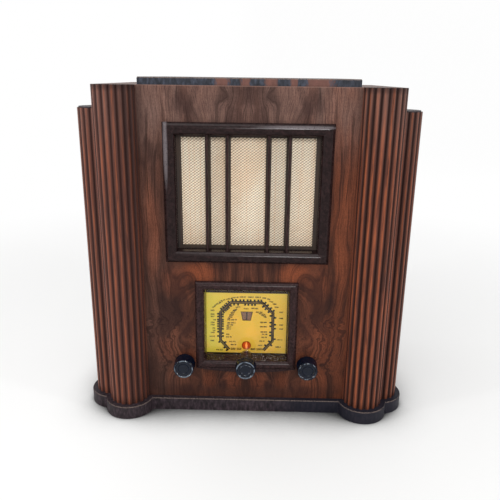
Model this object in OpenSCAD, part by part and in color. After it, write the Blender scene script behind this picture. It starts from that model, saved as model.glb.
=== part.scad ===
// Table radio receiver: a veneered cabinet with reeded columns, its dial, speaker and chassis.
// Sizes are in millimetres. X runs to the right, Y from the front to the back, and Z up.
// The origin is on the underside of the plinth, at the middle of its width and depth.

/* [Cabinet] */
// Width of the flat panel between the front columns
panel_w = 270; // [262:1:310]
// Height of the cabinet above the plinth
cabinet_h = 417; // [376:1:460]
// Depth of the cabinet from the face of its front panel
cabinet_d = 232; // [210:1:280]
// Thickness of the front, side and top boards
board_t = 12; // [9:0.5:14]
// Width of the raised block on the top
block_w = 266; // [220:1:270]
// Height of the raised block
block_h = 9; // [6:0.5:16]
// Distance of the raised block behind the front face
block_setback = 2; // [1:0.5:10]
// Distance of the raised block from the back edge
block_back_gap = 6; // [2:1:40]
// Height of the round edge along the top of the block
block_ease = 1.5; // [0.5:0.25:3]

/* [Columns] */
// Radius of a column over its reeds
col_r = 26; // [24:0.5:28]
// Number of reeds round half a column
reed_count = 9; // [7:1:11]
// Radius of one reed
reed_r = 4.5; // [4:0.25:5]
// Distance of the side columns' tops below the cabinet top
side_drop = 28; // [15:1:60]
// Thickness of the dark cap on a side column
cap_t = 1.5; // [1:0.25:4]
// Distance of the cap inside the reeds
cap_inset = 2; // [1:0.5:6]

/* [Plinth] */
// Height of the plinth
plinth_h = 18; // [14:1:26]
// Distance that the plinth stands out at the front and sides
plinth_reach = 7; // [4:0.5:10]
// Distance that the plinth stands out at the back
plinth_back_reach = 3; // [3:0.5:8]
// Height of the round edge along the top of the plinth
plinth_ease = 1.5; // [0.5:0.25:3]

/* [Loudspeaker opening] */
// Width of the opening inside the grille frame
grille_w = 179; // [165:1:182]
// Height of the panel above the loudspeaker opening
head_room = 57.5; // [44:0.5:70]
// Height of the panel between the dial opening and the loudspeaker opening
frame_space = 53; // [32:0.5:62]
// Width of the frame's moulding
grille_band = 15; // [11:0.5:16]
// Distance that the moulding's crown stands out from the panel
grille_crown = 7; // [5:0.5:9]
// Thickness of a vertical bar
bar_t = 2.7; // [2:0.1:4]
// Distance of the inner bars from the middle
bar_inner_x = 25.4; // [20:0.2:30]
// Distance of the outer bars from the middle
bar_outer_x = 50.8; // [42:0.2:60]
// Depth of the cloth behind the panel's face
cloth_y = 22; // [20:0.5:24]
// Thickness of the grille cloth
cloth_t = 0.6; // [0.4:0.1:1]
// Distance that the wooden spacer shows inside the frame at each side
spacer_step = 4.5; // [2:0.5:7]
// Distance that the wooden spacer shows inside the frame at the top
spacer_top_step = 4; // [2:0.5:7]
// Distance that the wooden spacer shows inside the frame at the bottom
spacer_low_step = 2; // [1:0.5:5]
// Width of the wooden slat behind each bar
slat_w = 6.5; // [5:0.5:9]
// Thickness of the board that carries the loudspeaker
baffle_t = 8; // [6:0.5:10]
// Distance that the loudspeaker board reaches past the opening
baffle_margin = 16; // [12:1:20]

/* [Loudspeaker] */
// Outer radius of the loudspeaker's frame
basket_r = 86; // [82:0.5:88]
// Radius of the hole in the board
baffle_hole_r = 76; // [72:0.5:78]
// Radius of the paper cone
cone_r = 66; // [60:0.5:68]
// Depth of the cone
cone_depth = 34; // [28:1:36]
// Radius of the voice coil
coil_r = 13; // [11:0.25:15]
// Radius of the field magnet
magnet_r = 33; // [29:0.5:36]
// Length of the field magnet
magnet_len = 46; // [38:1:52]
// Running gap round the voice coil
coil_gap = 1.2; // [1:0.1:2]
// Furthest that the cone moves each way
cone_travel = 1; // [0.5:0.1:1.2]

/* [Dial] */
// Width of the opening inside the dial frame
dial_w = 112; // [104:1:118]
// Height of the opening inside the dial frame
dial_h = 102; // [98:1:106]
// Height of the opening's centre above the plinth
dial_z = 108.5; // [100:0.5:116]
// Width of the dial frame's moulding
dial_band = 11.8; // [9:0.2:13]
// Distance that the dial frame stands out from the panel
dial_crown = 6.5; // [5:0.5:8]
// Distance that the curved apron hangs below the dial frame
apron_drop = 5.4; // [3:0.2:8]
// Thickness of the dial glass
glass_t = 2; // [1.5:0.25:3]
// Depth of the dial glass behind the panel's face
glass_y = 15.4; // [15:0.2:16]
// Depth of the scale plate behind the panel's face
scale_y = 20; // [19.5:0.25:21]
// Thickness of the scale plate
scale_t = 1; // [0.6:0.1:1.4]
// Width of the slot that the pointer shows through
track_w = 1.6; // [1.4:0.2:3.4]
// Distance of the slot's straight sides from the pointer's axis
track_r = 36; // [33:0.5:38]
// Distance of the pointer's axis above the control shafts
pointer_rise = 45.2; // [42:0.2:48]
// Angle that the pointer sweeps
pointer_sweep = 290; // [270:2:290]
// Radius of the round red window
lens_r = 6.3; // [5:0.1:6.8]
// Distance of the red window's centre above the dial opening's lower edge
lens_rise = 11.8; // [10.8:0.1:13]

/* [Controls] */
// Distance of the control shafts below the dial opening
shaft_drop = 5.1; // [4.4:0.1:6]
// Gap between the foot of an outer knob and the dial frame
knob_side_gap = 1.2; // [0.4:0.1:6]
// Radius of a knob's face
knob_r = 13.4; // [11:0.2:15]
// Distance that a knob's foot stands out round its face
knob_flare = 0.6; // [0.4:0.1:2]
// Length of a knob
knob_len = 18; // [14:0.5:22]
// Gap between a knob and the panel
knob_gap = 3; // [2:0.5:5]
// Radius of the control shafts
shaft_r = 3; // [2.5:0.1:3.2]
// Running gap of a shaft in its bearing
running_gap = 0.05; // [0.02:0.01:0.1]
// Radius of the boss that carries the tuning shaft through the dial frame
boss_r = 9; // [8:0.25:10]
// Radius of the roller that drives the pointer's disc
roller_r = 6; // [5:0.25:7]

/* [Tuning capacitor] */
// Number of teeth on the pointer's pinion
pinion_teeth = 36; // [34:2:36]
// Number of teeth on the capacitor's gear
gear_teeth = 58; // [56:2:58]
// Width of one tooth and gap, divided by pi
gear_module = 1; // [0.96:0.02:1.04]
// Radius of the moving vanes
vane_r = 22; // [19:0.5:24]
// Thickness of a vane
vane_t = 0.8; // [0.5:0.1:1]
// Distance of the moving vanes above the chassis
vane_gap = 5.6; // [4.5:0.1:7]
// Distance from one moving vane to the next
vane_pitch = 3.2; // [2.8:0.1:3.6]
// Number of moving vanes in one section
vane_count = 5; // [3:1:5]

/* [Chassis] */
// Width of the chassis
chassis_w = 300; // [290:2:316]
// Distance from the chassis to the back cover
back_space = 14; // [12.5:0.5:36]
// Thickness of the chassis metal
chassis_t = 1.5; // [1:0.1:2]
// Depth of the chassis front behind the panel's face
chassis_y = 66; // [66:0.5:67]
// Height of the power transformer
transformer_h = 78; // [60:1:90]
// Width of the power transformer at its foot
transformer_w = 72; // [60:1:76]
// Depth of the power transformer at its foot
transformer_d = 68; // [56:1:72]
// Height of the smoothing capacitor cans
smoothing_h = 90; // [70:1:100]
// Radius of the smoothing capacitors' cans
smoothing_r = 17; // [14:0.5:18]
// Height of the coil cans
coil_can_h = 74; // [60:1:90]
// Radius of a valve's widest part
valve_r = 20; // [17:0.5:21]
// Height of a valve above its socket
valve_h = 96; // [86:1:100]
// Radius of an aerial or earth socket's hole
socket_r = 2; // [1.6:0.1:2.4]
// Length of an aerial or earth socket
socket_len = 15; // [12:0.5:16]
// Radius of the hole for the mains cable
gland_r = 4; // [3:0.25:5]

/* [Back] */
// Thickness of the back cover
back_t = 3; // [2.5:0.25:4]
// Distance of the back cover's outer face inside the back edge
back_recess = 3; // [2.5:0.25:4]
// Radius of a vent hole in the back cover
vent_r = 4; // [2:0.5:5]

/* [Hidden] */
$fn = 96;

// Cut-outs run this far past the faces that they go through
past = 1;
// Gap between parts that are fitted by hand
fit_gap = 0.3;

// Cabinet
col_x = panel_w / 2 + col_r;
side_x = panel_w / 2 + 2 * col_r;
inner_x = side_x - board_t;
total_d = col_r + plinth_reach + cabinet_d + plinth_back_reach;
face_y = col_r + plinth_reach - total_d / 2;
back_y = cabinet_d - back_recess - back_t;
side_col_h = cabinet_h - side_drop;
ease_steps = 3;

// Heights on the front
dial_low = dial_z - dial_h / 2;
dial_high = dial_z + dial_h / 2;
shaft_z = dial_low - shaft_drop;
pointer_z = shaft_z + pointer_rise;
lens_z = dial_low + lens_rise;
knob_x = dial_w / 2 + dial_band + knob_side_gap + knob_r + knob_flare;
grille_low = dial_high + frame_space;
grille_h = cabinet_h - head_room - grille_low;
grille_z = grille_low + grille_h / 2;

// Loudspeaker opening
flange_t = 2.5;
grille_edge = 2.5;
baffle_y = cloth_y + cloth_t;
basket_y = baffle_y + baffle_t;
spacer_w = grille_w - 2 * spacer_step;
spacer_low = grille_z - grille_h / 2 + spacer_low_step;
spacer_high = grille_z + grille_h / 2 - spacer_top_step;
baffle_rim = 3.5;
baffle_w = max(grille_w + 2 * baffle_margin, 2 * (basket_r + baffle_rim));
baffle_h = max(grille_h + 2 * baffle_margin, 2 * (basket_r + baffle_rim));

// Loudspeaker
basket_t = 1.5;
basket_ledge = 6;
cone_t = 1;
cone_y = basket_y + basket_ledge;
magnet_y = cone_y + cone_depth + 6;
pole_r = coil_r - coil_gap;
coil_depth = 10;

// Dial
dial_edge = 2.5;
lip = 1.5;
scale_margin = 1;
boss_end_y = scale_y - fit_gap;
boss_bore_r = shaft_r + 1;
window_z = pointer_z + 15.9;
window_h = 13;
window_top_w = 16.6;
window_bottom_w = 11;
bracket_y = 46;
bracket_t = 1.2;
pillar_r = 2.5;
disc_t = 1.2;
disc_y = 50;
disc_gap = fit_gap;
disc_r = pointer_z - shaft_z - roller_r - disc_gap;
gear_y = 57;
gear_t = 5;
pinion_pitch_r = gear_module * pinion_teeth / 2;
gear_pitch_r = gear_module * gear_teeth / 2;
gang_x = pinion_pitch_r + gear_pitch_r;
gang_y = chassis_y + 4;
gang_plate_t = 1.5;
gang_len = 66;
gang_w = 58;
gang_h = 56;
gang_left = gang_x - 27;

// Chassis
chassis_h = pointer_z - vane_r - vane_gap;
chassis_back = back_y - back_space;
chassis_d = chassis_back - chassis_y;
socket_z = 30;
socket_x = [35, 55, 85, 105];
strip_t = 2;
gland_x = -110;
bolt_x = 130;
bolt_y = [chassis_y + 30, chassis_back - 26];
bolt_r = 3;
shaft_hole_r = 5;

// Valve places on the chassis, as x and depth behind the chassis front
rectifier_at = [-110, 30];
output_at = [-52, 23];
mixer_at = [-6, 34];
if_at = [108, chassis_d / 2];
detector_at = [60, chassis_d - 26];
// Smoothing capacitors, and coil cans, in the same way
smoothing_at = [[-52, 62.5], [-52, chassis_d - smoothing_r - 4]];
coil_at = [[108, 20], [108, chassis_d - 20], [9, chassis_d - 21]];
transformer_at = [
    transformer_w / 2 + 2 - chassis_w / 2, chassis_d - transformer_d / 2 - 3
];
socket_plate_h = 4;
socket_plate_r = 16;
valve_base_r = 14.5;
valve_base_h = 28;

// Route of the loudspeaker lead, as x, depth behind the panel's face and height above the plinth
lead_r = 2;
lead_route = [
    [-22, 150, 70], [-22, 150, 82], [-24, 152, 110], [-29, 157, 160], [-31, 161, 210],
    [-27, 160, 255], [-19, 154, 292], [-13, 144, 318], [-10, 132, 331], [-10, 124, 333],
    [-10, 117, 333]
];

// Places its children behind the middle of the panel's face, at the top of the plinth
module inside() {
    translate([0, face_y, plinth_h]) children();
}

// Turns a shape that stands on Z so that it runs back along Y
module along_y() {
    rotate([-90, 0, 0]) children();
}

// A round bar or disc from depth y0 to y1
module round_y(x, z, r, y0, y1) {
    translate([x, y0, z]) along_y() cylinder(r = r, h = y1 - y0);
}

// A box given by its middle in X, its depths and its heights
module block(x, w, y0, y1, z0, z1) {
    translate([x - w / 2, y0, z0]) cube([w, y1 - y0, z1 - z0]);
}

// Half a reeded column in plan, on the -Y side of the X axis
module reeded_half() {
    ring = col_r - reed_r;
    step = 180 / reed_count;
    intersection() {
        union() {
            circle(ring);
            for (i = [0 : reed_count])
                rotate(180 + i * step) translate([ring, 0]) circle(reed_r);
        }
        translate([-col_r - past, -col_r - past]) square([2 * (col_r + past), col_r + past]);
    }
}

// Plan of the plinth: the cabinet's outline, wider by reach, with a lobe round each column
module plinth_plan(reach, back_reach) {
    translate([-side_x, 0]) square([2 * side_x, cabinet_d + back_reach]);
    translate([-col_x, -reach]) square([2 * col_x, cabinet_d]);
    translate([-side_x - reach, col_r])
        square([2 * (side_x + reach), cabinet_d - col_r + back_reach]);
    for (s = [-1, 1]) {
        translate([s * col_x, 0]) circle(col_r + reach);
        translate([s * side_x, col_r]) circle(col_r + reach);
    }
}

// Section of a moulding: its back on X = 0, its inner edge on Y = 0, crowned towards -X
module moulding_section(band, crown, edge) {
    rise = crown - edge;
    arc_r = (band * band / 4 + rise * rise) / (2 * rise);
    intersection() {
        translate([-crown - past, 0]) square([crown + past, band]);
        translate([arc_r - crown, band / 2]) circle(arc_r, $fn = 128);
    }
}

// One rail of a frame along X, its inner edge on Z = 0, cut to a mitre at both ends
module rail(length, band, crown, edge) {
    intersection() {
        rotate([90, 0, 90])
            linear_extrude(length + 2 * band, center = true)
                moulding_section(band, crown, edge);
        rotate([90, 0, 0])
            linear_extrude(crown + past)
                polygon([
                    [-length / 2, 0], [length / 2, 0],
                    [length / 2 + band, band], [-length / 2 - band, band]
                ]);
    }
}

// A length to the nearest hundredth of a millimetre
function hundredths(length) = round(length * 100) / 100;

// A mitred frame round an opening w by h, and the wall that lines the hole behind it. Its rails
// are cut to whole hundredths, so that their mitres meet exactly
module moulded_frame(w, h, band, crown, edge, wall_end) {
    x = hundredths(w / 2);
    z = hundredths(h / 2);
    rail_w = hundredths(band);
    for (a = [0, 180])
        rotate([0, a, 0]) translate([0, 0, z]) rail(2 * x, rail_w, crown, edge);
    for (a = [90, 270])
        rotate([0, a, 0]) translate([0, 0, x]) rail(2 * z, rail_w, crown, edge);
    difference() {
        block(0, 2 * (x + flange_t), -edge / 2, wall_end, -z - flange_t, z + flange_t);
        block(0, 2 * x, -crown - past, wall_end + past, -z, z);
    }
}

// Plain gear, its teeth with straight flanks, thinned for backlash
module gear_plan(teeth, turn) {
    pitch_r = gear_module * teeth / 2;
    tooth = 360 / teeth;
    root = pitch_r - 1.2 * gear_module;
    tip = pitch_r + gear_module;
    polygon([
        for (i = [0 : teeth - 1])
            for (k = [[-0.34, root], [-0.12, tip], [0.12, tip], [0.34, root]])
                k[1] * [cos(turn + (i + k[0]) * tooth), sin(turn + (i + k[0]) * tooth)]
    ]);
}

// Cabinet

module plinth() {
    color([0.10, 0.08, 0.08]) translate([0, face_y, 0]) difference() {
        union() {
            linear_extrude(plinth_h - plinth_ease) plinth_plan(plinth_reach, plinth_back_reach);
            for (i = [0 : ease_steps - 1]) {
                rise = plinth_ease * i / ease_steps;
                inset = plinth_ease - sqrt(plinth_ease * plinth_ease - rise * rise);
                translate([0, 0, plinth_h - plinth_ease + rise])
                    linear_extrude(plinth_ease / ease_steps)
                        plinth_plan(plinth_reach - inset - 0.2, plinth_back_reach - inset - 0.2);
            }
        }
        for (x = [-bolt_x, bolt_x])
            for (y = bolt_y) {
                translate([x, y, -past]) cylinder(r = bolt_r + fit_gap, h = plinth_h + 2 * past);
                translate([x, y, -past]) cylinder(r = 8, h = 6 + past);
            }
    }
}

module front_panel() {
    color([0.36, 0.19, 0.12]) inside() difference() {
        block(0, 2 * side_x, 0, board_t, 0, cabinet_h);
        opening_cut(grille_w, grille_h, grille_z);
        opening_cut(dial_w, dial_h, dial_z);
        round_y(0, shaft_z, boss_r + fit_gap, -past, board_t + past);
        for (s = [-1, 1]) round_y(s * knob_x, shaft_z, shaft_hole_r, -past, board_t + past);
    }
}

// Hole in the panel that takes the lining wall of a frame
module opening_cut(w, h, z) {
    grow = flange_t + fit_gap;
    block(0, w + 2 * grow, -past, board_t + past, z - h / 2 - grow, z + h / 2 + grow);
}

module side_panel(s) {
    color([0.34, 0.17, 0.11]) inside()
        block(s * (side_x - board_t / 2), board_t, board_t, cabinet_d, 0, cabinet_h);
}

module top_panel() {
    color([0.34, 0.17, 0.11]) inside()
        block(0, 2 * inner_x, board_t, cabinet_d, cabinet_h - board_t, cabinet_h);
}

module top_block() {
    color([0.11, 0.11, 0.14]) inside() {
        block(0, block_w, block_setback, cabinet_d - block_back_gap,
            cabinet_h, cabinet_h + block_h - block_ease);
        for (i = [0 : ease_steps - 1]) {
            rise = block_ease * i / ease_steps;
            inset = block_ease - sqrt(block_ease * block_ease - rise * rise) + 0.2;
            z = cabinet_h + block_h - block_ease + rise;
            block(0, block_w - 2 * inset, block_setback + inset,
                cabinet_d - block_back_gap - inset, z, z + block_ease / ease_steps);
        }
    }
}

module column_front(s) {
    color([0.33, 0.16, 0.10]) inside()
        translate([s * col_x, 0, 0]) linear_extrude(cabinet_h) reeded_half();
}

module column_side(s) {
    color([0.33, 0.16, 0.10]) inside()
        translate([s * side_x, col_r, 0]) rotate(s * 90)
            linear_extrude(side_col_h) reeded_half();
}

module step_caps() {
    cap_r = col_r - cap_inset;
    color([0.09, 0.07, 0.07]) inside()
        for (s = [-1, 1])
            translate([s * side_x, col_r, side_col_h]) rotate(s * 90)
                linear_extrude(cap_t) intersection() {
                    circle(cap_r);
                    translate([-col_r, -col_r]) square([2 * col_r, col_r]);
                }
}

// Glue blocks in the corners, and the strips that the back cover is screwed to
module battens() {
    strip = 12;
    corner = 22;
    color([0.62, 0.47, 0.30]) inside() {
        for (s = [-1, 1]) {
            block(s * (inner_x - strip / 2), strip, back_y - strip, back_y, 0,
                cabinet_h - board_t);
            translate([s * inner_x, board_t, 0]) linear_extrude(cabinet_h - board_t)
                polygon([[0, 0], [-s * corner, 0], [0, corner]]);
        }
        block(0, 2 * (inner_x - strip), back_y - strip, back_y,
            cabinet_h - board_t - strip, cabinet_h - board_t);
    }
}

module back_cover() {
    w = 2 * (inner_x - fit_gap);
    top = cabinet_h - board_t - fit_gap;
    color([0.45, 0.33, 0.22]) inside() difference() {
        block(0, w, back_y, back_y + back_t, fit_gap, top);
        for (row = [0 : 4])
            for (column = [-5 : 5]) {
                vent_hole(column * 18, grille_z - 36 + row * 18);
                vent_hole(column * 18, chassis_h + 26 + row * 14);
            }
        block((socket_x[0] + socket_x[3]) / 2, socket_x[3] - socket_x[0] + 26,
            back_y - past, back_y + back_t + past,
            socket_z - 14, socket_z + 14);
        round_y(gland_x, socket_z, gland_r + 6, back_y - past, back_y + back_t + past);
        for (p = screw_places())
            round_y(p[0], p[1], 1.5 + fit_gap, back_y - past, back_y + back_t + past);
    }
}

module vent_hole(x, z) {
    round_y(x, z, vent_r, back_y - past, back_y + back_t + past);
}

// Screws of the back cover, as x and height
function screw_places() = [
    for (s = [-1, 1]) for (f = [0.08, 0.5, 0.92]) [s * (inner_x - 6), f * (cabinet_h - board_t)]
];

module back_screws() {
    color([0.62, 0.58, 0.48]) inside()
        for (p = screw_places()) {
            round_y(p[0], p[1], 1.5, back_y, back_y + back_t + 0.5);
            difference() {
                round_y(p[0], p[1], 3.4, back_y + back_t, back_y + back_t + 1.8);
                block(p[0], 8, back_y + back_t + 1, back_y + back_t + 2 + past,
                    p[1] - 0.5, p[1] + 0.5);
            }
        }
}

// Loudspeaker opening

module grille_frame() {
    color([0.13, 0.09, 0.10]) inside() translate([0, 0, grille_z])
        moulded_frame(grille_w, grille_h, grille_band, grille_crown, grille_edge, board_t);
}

// Middles of the upright bars
bar_places = [-bar_outer_x, -bar_inner_x, bar_inner_x, bar_outer_x];

module grille_bars() {
    front = -grille_edge / 2;
    low = grille_z - grille_h / 2;
    high = grille_z + grille_h / 2;
    color([0.11, 0.08, 0.08]) inside()
        for (x = bar_places) {
            block(x, bar_t, front + bar_t / 2, board_t, low, high);
            intersection() {
                translate([x, front + bar_t / 2, low]) cylinder(r = bar_t / 2, h = grille_h);
                block(x, 2 * bar_t, front - past, front + bar_t / 2, low, high);
            }
        }
}

// Board between the panel and the cloth, with an upright slat behind each bar
module grille_spacer() {
    color([0.40, 0.27, 0.16]) inside() {
        difference() {
            block(0, baffle_w, board_t, cloth_y, grille_z - baffle_h / 2, grille_z + baffle_h / 2);
            block(0, spacer_w, board_t - past, cloth_y + past, spacer_low, spacer_high);
        }
        for (x = bar_places)
            block(x, slat_w, board_t, cloth_y, spacer_low - past, spacer_high + past);
    }
}

module grille_cloth() {
    color([0.82, 0.72, 0.58]) inside()
        block(0, baffle_w, cloth_y, baffle_y, grille_z - baffle_h / 2, grille_z + baffle_h / 2);
}

module speaker_baffle() {
    color([0.55, 0.40, 0.24]) inside() difference() {
        block(0, baffle_w, baffle_y, basket_y, grille_z - baffle_h / 2, grille_z + baffle_h / 2);
        round_y(0, grille_z, baffle_hole_r, baffle_y - past, basket_y + past);
    }
}

// Loudspeaker

module speaker_basket() {
    back_r = magnet_r - 4;
    depth = magnet_y - basket_y;
    ledge_r = cone_r + 3;
    color([0.20, 0.20, 0.21]) inside() difference() {
        translate([0, basket_y, grille_z]) along_y() rotate_extrude() polygon([
            [baffle_hole_r + 1, 0], [basket_r, 0], [basket_r, basket_t],
            [baffle_hole_r + 1 + basket_t, basket_t], [baffle_hole_r + 1, basket_ledge + basket_t],
            [ledge_r + 4, basket_ledge + basket_t], [back_r, depth], [coil_r + 2, depth],
            [coil_r + 2, depth - basket_t], [back_r - 1, depth - basket_t],
            [ledge_r, basket_ledge + basket_t], [ledge_r, basket_ledge],
            [baffle_hole_r - 1, basket_ledge]
        ]);
        for (a = [45 : 90 : 315])
            translate([0, basket_y + basket_ledge + 4, grille_z]) rotate([0, a, 0])
                block(0, 34, 0, depth - basket_ledge - 10, back_r + 2, basket_r);
    }
}

// Corrugated ring that holds the cone's edge
module speaker_surround() {
    outer = baffle_hole_r - 1.5;
    inner = cone_r + 0.3;
    third = (outer - inner) / 3;
    color([0.16, 0.13, 0.12]) inside()
        translate([0, cone_y - 1, grille_z]) along_y() rotate_extrude() polygon([
            [inner, 0], [inner + third, -1.6], [inner + 2 * third, 0], [outer, 0], [outer, 1],
            [inner + 2 * third, 1], [inner + third, -0.6], [inner, 1]
        ]);
}

module speaker_cone() {
    neck = coil_r + cone_t;
    color([0.24, 0.21, 0.18]) inside() translate([0, cone_y - 1, grille_z]) along_y() {
        rotate_extrude() polygon([
            [cone_r, 0], [cone_r, cone_t], [neck, cone_depth], [neck, cone_depth + coil_depth],
            [coil_r, cone_depth + coil_depth], [coil_r, cone_depth - cone_t], [cone_r - 1.5, 0]
        ]);
        translate([0, 0, cone_depth - 2]) cylinder(r = coil_r + 1.2, h = 1);
    }
}

module speaker_magnet() {
    gap_r = coil_r + cone_t + coil_gap;
    color([0.17, 0.17, 0.18]) inside() difference() {
        round_y(0, grille_z, magnet_r, magnet_y, magnet_y + magnet_len);
        difference() {
            round_y(0, grille_z, gap_r, magnet_y - past, magnet_y + coil_depth + 4);
            round_y(0, grille_z, pole_r, magnet_y - 2 * past, magnet_y + coil_depth + 5);
        }
    }
}

module output_transformer() {
    seat = grille_z + magnet_r - 5;
    color([0.22, 0.20, 0.19]) inside() difference() {
        union() {
            block(0, 46, magnet_y + 6, magnet_y + 12, seat, seat + 42);
            block(0, 34, magnet_y + 12, magnet_y + 34, seat, seat + 38);
            block(0, 46, magnet_y + 34, magnet_y + 40, seat, seat + 42);
        }
        round_y(0, grille_z, magnet_r, magnet_y, magnet_y + magnet_len);
    }
}

// Unit vectors and rings for a tube swept along a route
function unit(v) = v / norm(v);
function spline(p, i, t) = let (
    a = p[max(i - 1, 0)], b = p[i], c = p[i + 1], d = p[min(i + 2, len(p) - 1)]
) 0.5 * (2 * b + (c - a) * t + (2 * a - 5 * b + 4 * c - d) * t * t
    + (3 * b - a - 3 * c + d) * t * t * t);

module speaker_lead() {
    sides = 8;
    parts = 4;
    last = len(lead_route) - 1;
    path = [
        for (i = [0 : last - 1]) for (k = [0 : parts - 1]) spline(lead_route, i, k / parts),
        lead_route[last]
    ];
    n = len(path);
    points = [
        for (i = [0 : n - 1])
            let (
                t = i == 0 ? [0, 0, 1] : i == n - 1 ? [0, -1, 0]
                    : unit(path[i + 1] - path[i - 1]),
                u = unit(cross([1, 0, 0], t)),
                v = cross(t, u)
            )
            for (k = [0 : sides - 1])
                path[i] + lead_r * (cos(k * 360 / sides) * u + sin(k * 360 / sides) * v)
    ];
    faces = concat(
        [[for (k = [0 : sides - 1]) k]],
        [for (i = [0 : n - 2]) for (k = [0 : sides - 1])
            for (f = [[i * sides + k, (i + 1) * sides + k, (i + 1) * sides + (k + 1) % sides],
                      [i * sides + k, (i + 1) * sides + (k + 1) % sides,
                       i * sides + (k + 1) % sides]]) f],
        [[for (k = [0 : sides - 1]) (n - 1) * sides + sides - 1 - k]]
    );
    color([0.35, 0.12, 0.10]) inside() polyhedron(points, faces);
}

// Dial

module dial_frame() {
    half = dial_w / 2 + dial_band;
    foot = dial_h / 2 + dial_band;
    sag_r = (half * half + apron_drop * apron_drop) / (2 * apron_drop);
    sag_turn = asin(half / sag_r);
    steps = 32;
    glass_end = glass_y + glass_t;
    color([0.16, 0.10, 0.11]) inside() difference() {
        union() {
            translate([0, 0, dial_z]) difference() {
                union() {
                    moulded_frame(dial_w, dial_h, dial_band, dial_crown, dial_edge, glass_end);
                    rotate([90, 0, 0]) linear_extrude(dial_edge + 1) polygon([
                        [half, 2 - foot], [-half, 2 - foot], [-half, -foot],
                        for (i = [1 : steps - 1])
                            let (a = sag_turn * (2 * i / steps - 1))
                            [sag_r * sin(a), sag_r - sag_r * cos(a) - foot - apron_drop],
                        [half, -foot]
                    ]);
                }
                block(0, dial_w + 2 * lip, glass_y, glass_end + past,
                    -dial_h / 2 - lip, dial_h / 2 + lip);
            }
            round_y(0, shaft_z, boss_r, -dial_crown + 1, boss_end_y);
        }
        round_y(0, shaft_z, boss_bore_r, -dial_crown - past, boss_end_y + past);
    }
}

module dial_glass() {
    w = dial_w + 2 * (lip - fit_gap / 2);
    h = dial_h + 2 * (lip - fit_gap / 2);
    color([0.85, 0.90, 0.90, 0.35]) inside() difference() {
        block(0, w, glass_y, glass_y + glass_t, dial_z - h / 2, dial_z + h / 2);
        round_y(0, shaft_z, boss_r + fit_gap, glass_y - past, glass_y + glass_t + past);
    }
}

// Corners of the pointer's track round its axis, from the lower left to the lower right
function track_corner(i) = let (
    cut = 0.42 * track_r,
    low = -0.58 * track_r,
    end_x = 0.665 * track_r,
    end_z = -0.98 * track_r
) [
    [-end_x, end_z], [-track_r, low], [-track_r, track_r - cut], [cut - track_r, track_r],
    [track_r - cut, track_r], [track_r, track_r - cut], [track_r, low], [end_x, end_z]
][i];

// Normal of the track's side after corner i, and corner i moved out by d along its mitre
function track_normal(i) = let (d = track_corner(i + 1) - track_corner(i)) [-d[1], d[0]] / norm(d);
function track_edge(i, d) = let (
    n = track_normal(min(i, 6)),
    m = track_normal(max(i - 1, 0))
) track_corner(i) + d * (n + m) / (1 + n * m);

module track_slot() {
    translate([0, scale_y + scale_t + past, 0]) rotate([90, 0, 0])
        linear_extrude(scale_t + 2 * past) polygon([
            for (i = [0 : 7]) track_edge(i, track_w / 2),
            for (i = [7 : -1 : 0]) track_edge(i, -track_w / 2)
        ]);
}

module window_shape() {
    polygon([
        [-window_bottom_w / 2, -window_h / 2], [window_bottom_w / 2, -window_h / 2],
        [window_top_w / 2, window_h / 2], [-window_top_w / 2, window_h / 2]
    ]);
}

module dial_scale() {
    w = dial_w + 2 * scale_margin;
    h = dial_h + 2 * scale_margin;
    color([0.93, 0.78, 0.16]) inside() difference() {
        block(0, w, scale_y, scale_y + scale_t, dial_z - h / 2, dial_z + h / 2);
        translate([0, 0, pointer_z]) track_slot();
        translate([0, scale_y + scale_t + past, window_z]) rotate([90, 0, 0])
            linear_extrude(scale_t + 2 * past) window_shape();
        round_y(0, lens_z, lens_r + fit_gap / 3, scale_y - past, scale_y + scale_t + past);
        round_y(0, shaft_z, shaft_r + 2, scale_y - past, scale_y + scale_t + past);
    }
}

module indicator_lens() {
    color([0.80, 0.20, 0.05]) inside() {
        round_y(0, lens_z, lens_r, scale_y - 0.6, scale_y + scale_t);
        round_y(0, lens_z, lens_r + 1.5, scale_y + scale_t, scale_y + scale_t + 1.2);
    }
}

lamp_places = [[-30, dial_high - 13.5], [30, dial_high - 13.5], [0, lens_z + 1.7]];

// Back plate of the dial, with its pillars, the bearing of the pointer and its side arms
module dial_bracket() {
    arm_x = dial_w / 2 + 2;
    arm_z = [shaft_z - 12.4, shaft_z + 11.6];
    scale_back = scale_y + scale_t;
    color([0.70, 0.70, 0.70]) inside() difference() {
        union() {
            block(0, 2 * arm_x, bracket_y, bracket_y + bracket_t, arm_z[1] + 1, dial_high - 1);
            for (s = [-1, 1]) {
                block(s * (arm_x - 5), 10, bracket_y, bracket_y + bracket_t,
                    arm_z[0], arm_z[1] + 1 + past);
                block(s * (arm_x + 0.75), 1.5, bracket_y, chassis_y, arm_z[0], arm_z[1]);
                block(s * (arm_x + 5), 10, chassis_y - 1.5, chassis_y, arm_z[0], arm_z[1]);
                for (z = [dial_low + 16.5, dial_high - 7.5])
                    round_y(s * (dial_w / 2 - 5), z, pillar_r, scale_back,
                        bracket_y + bracket_t / 2);
            }
            round_y(0, pointer_z, shaft_r + 2.5, 38, bracket_y + bracket_t);
        }
        round_y(0, pointer_z, shaft_r + running_gap, 38 - past, bracket_y + bracket_t + past);
    }
}

module dial_lamps() {
    color([0.95, 0.90, 0.75]) inside()
        for (p = lamp_places) {
            round_y(p[0], p[1], 4.6, 38, bracket_y);
            translate([p[0], 34, p[1]]) sphere(r = 5, $fn = 48);
        }
}

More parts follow.
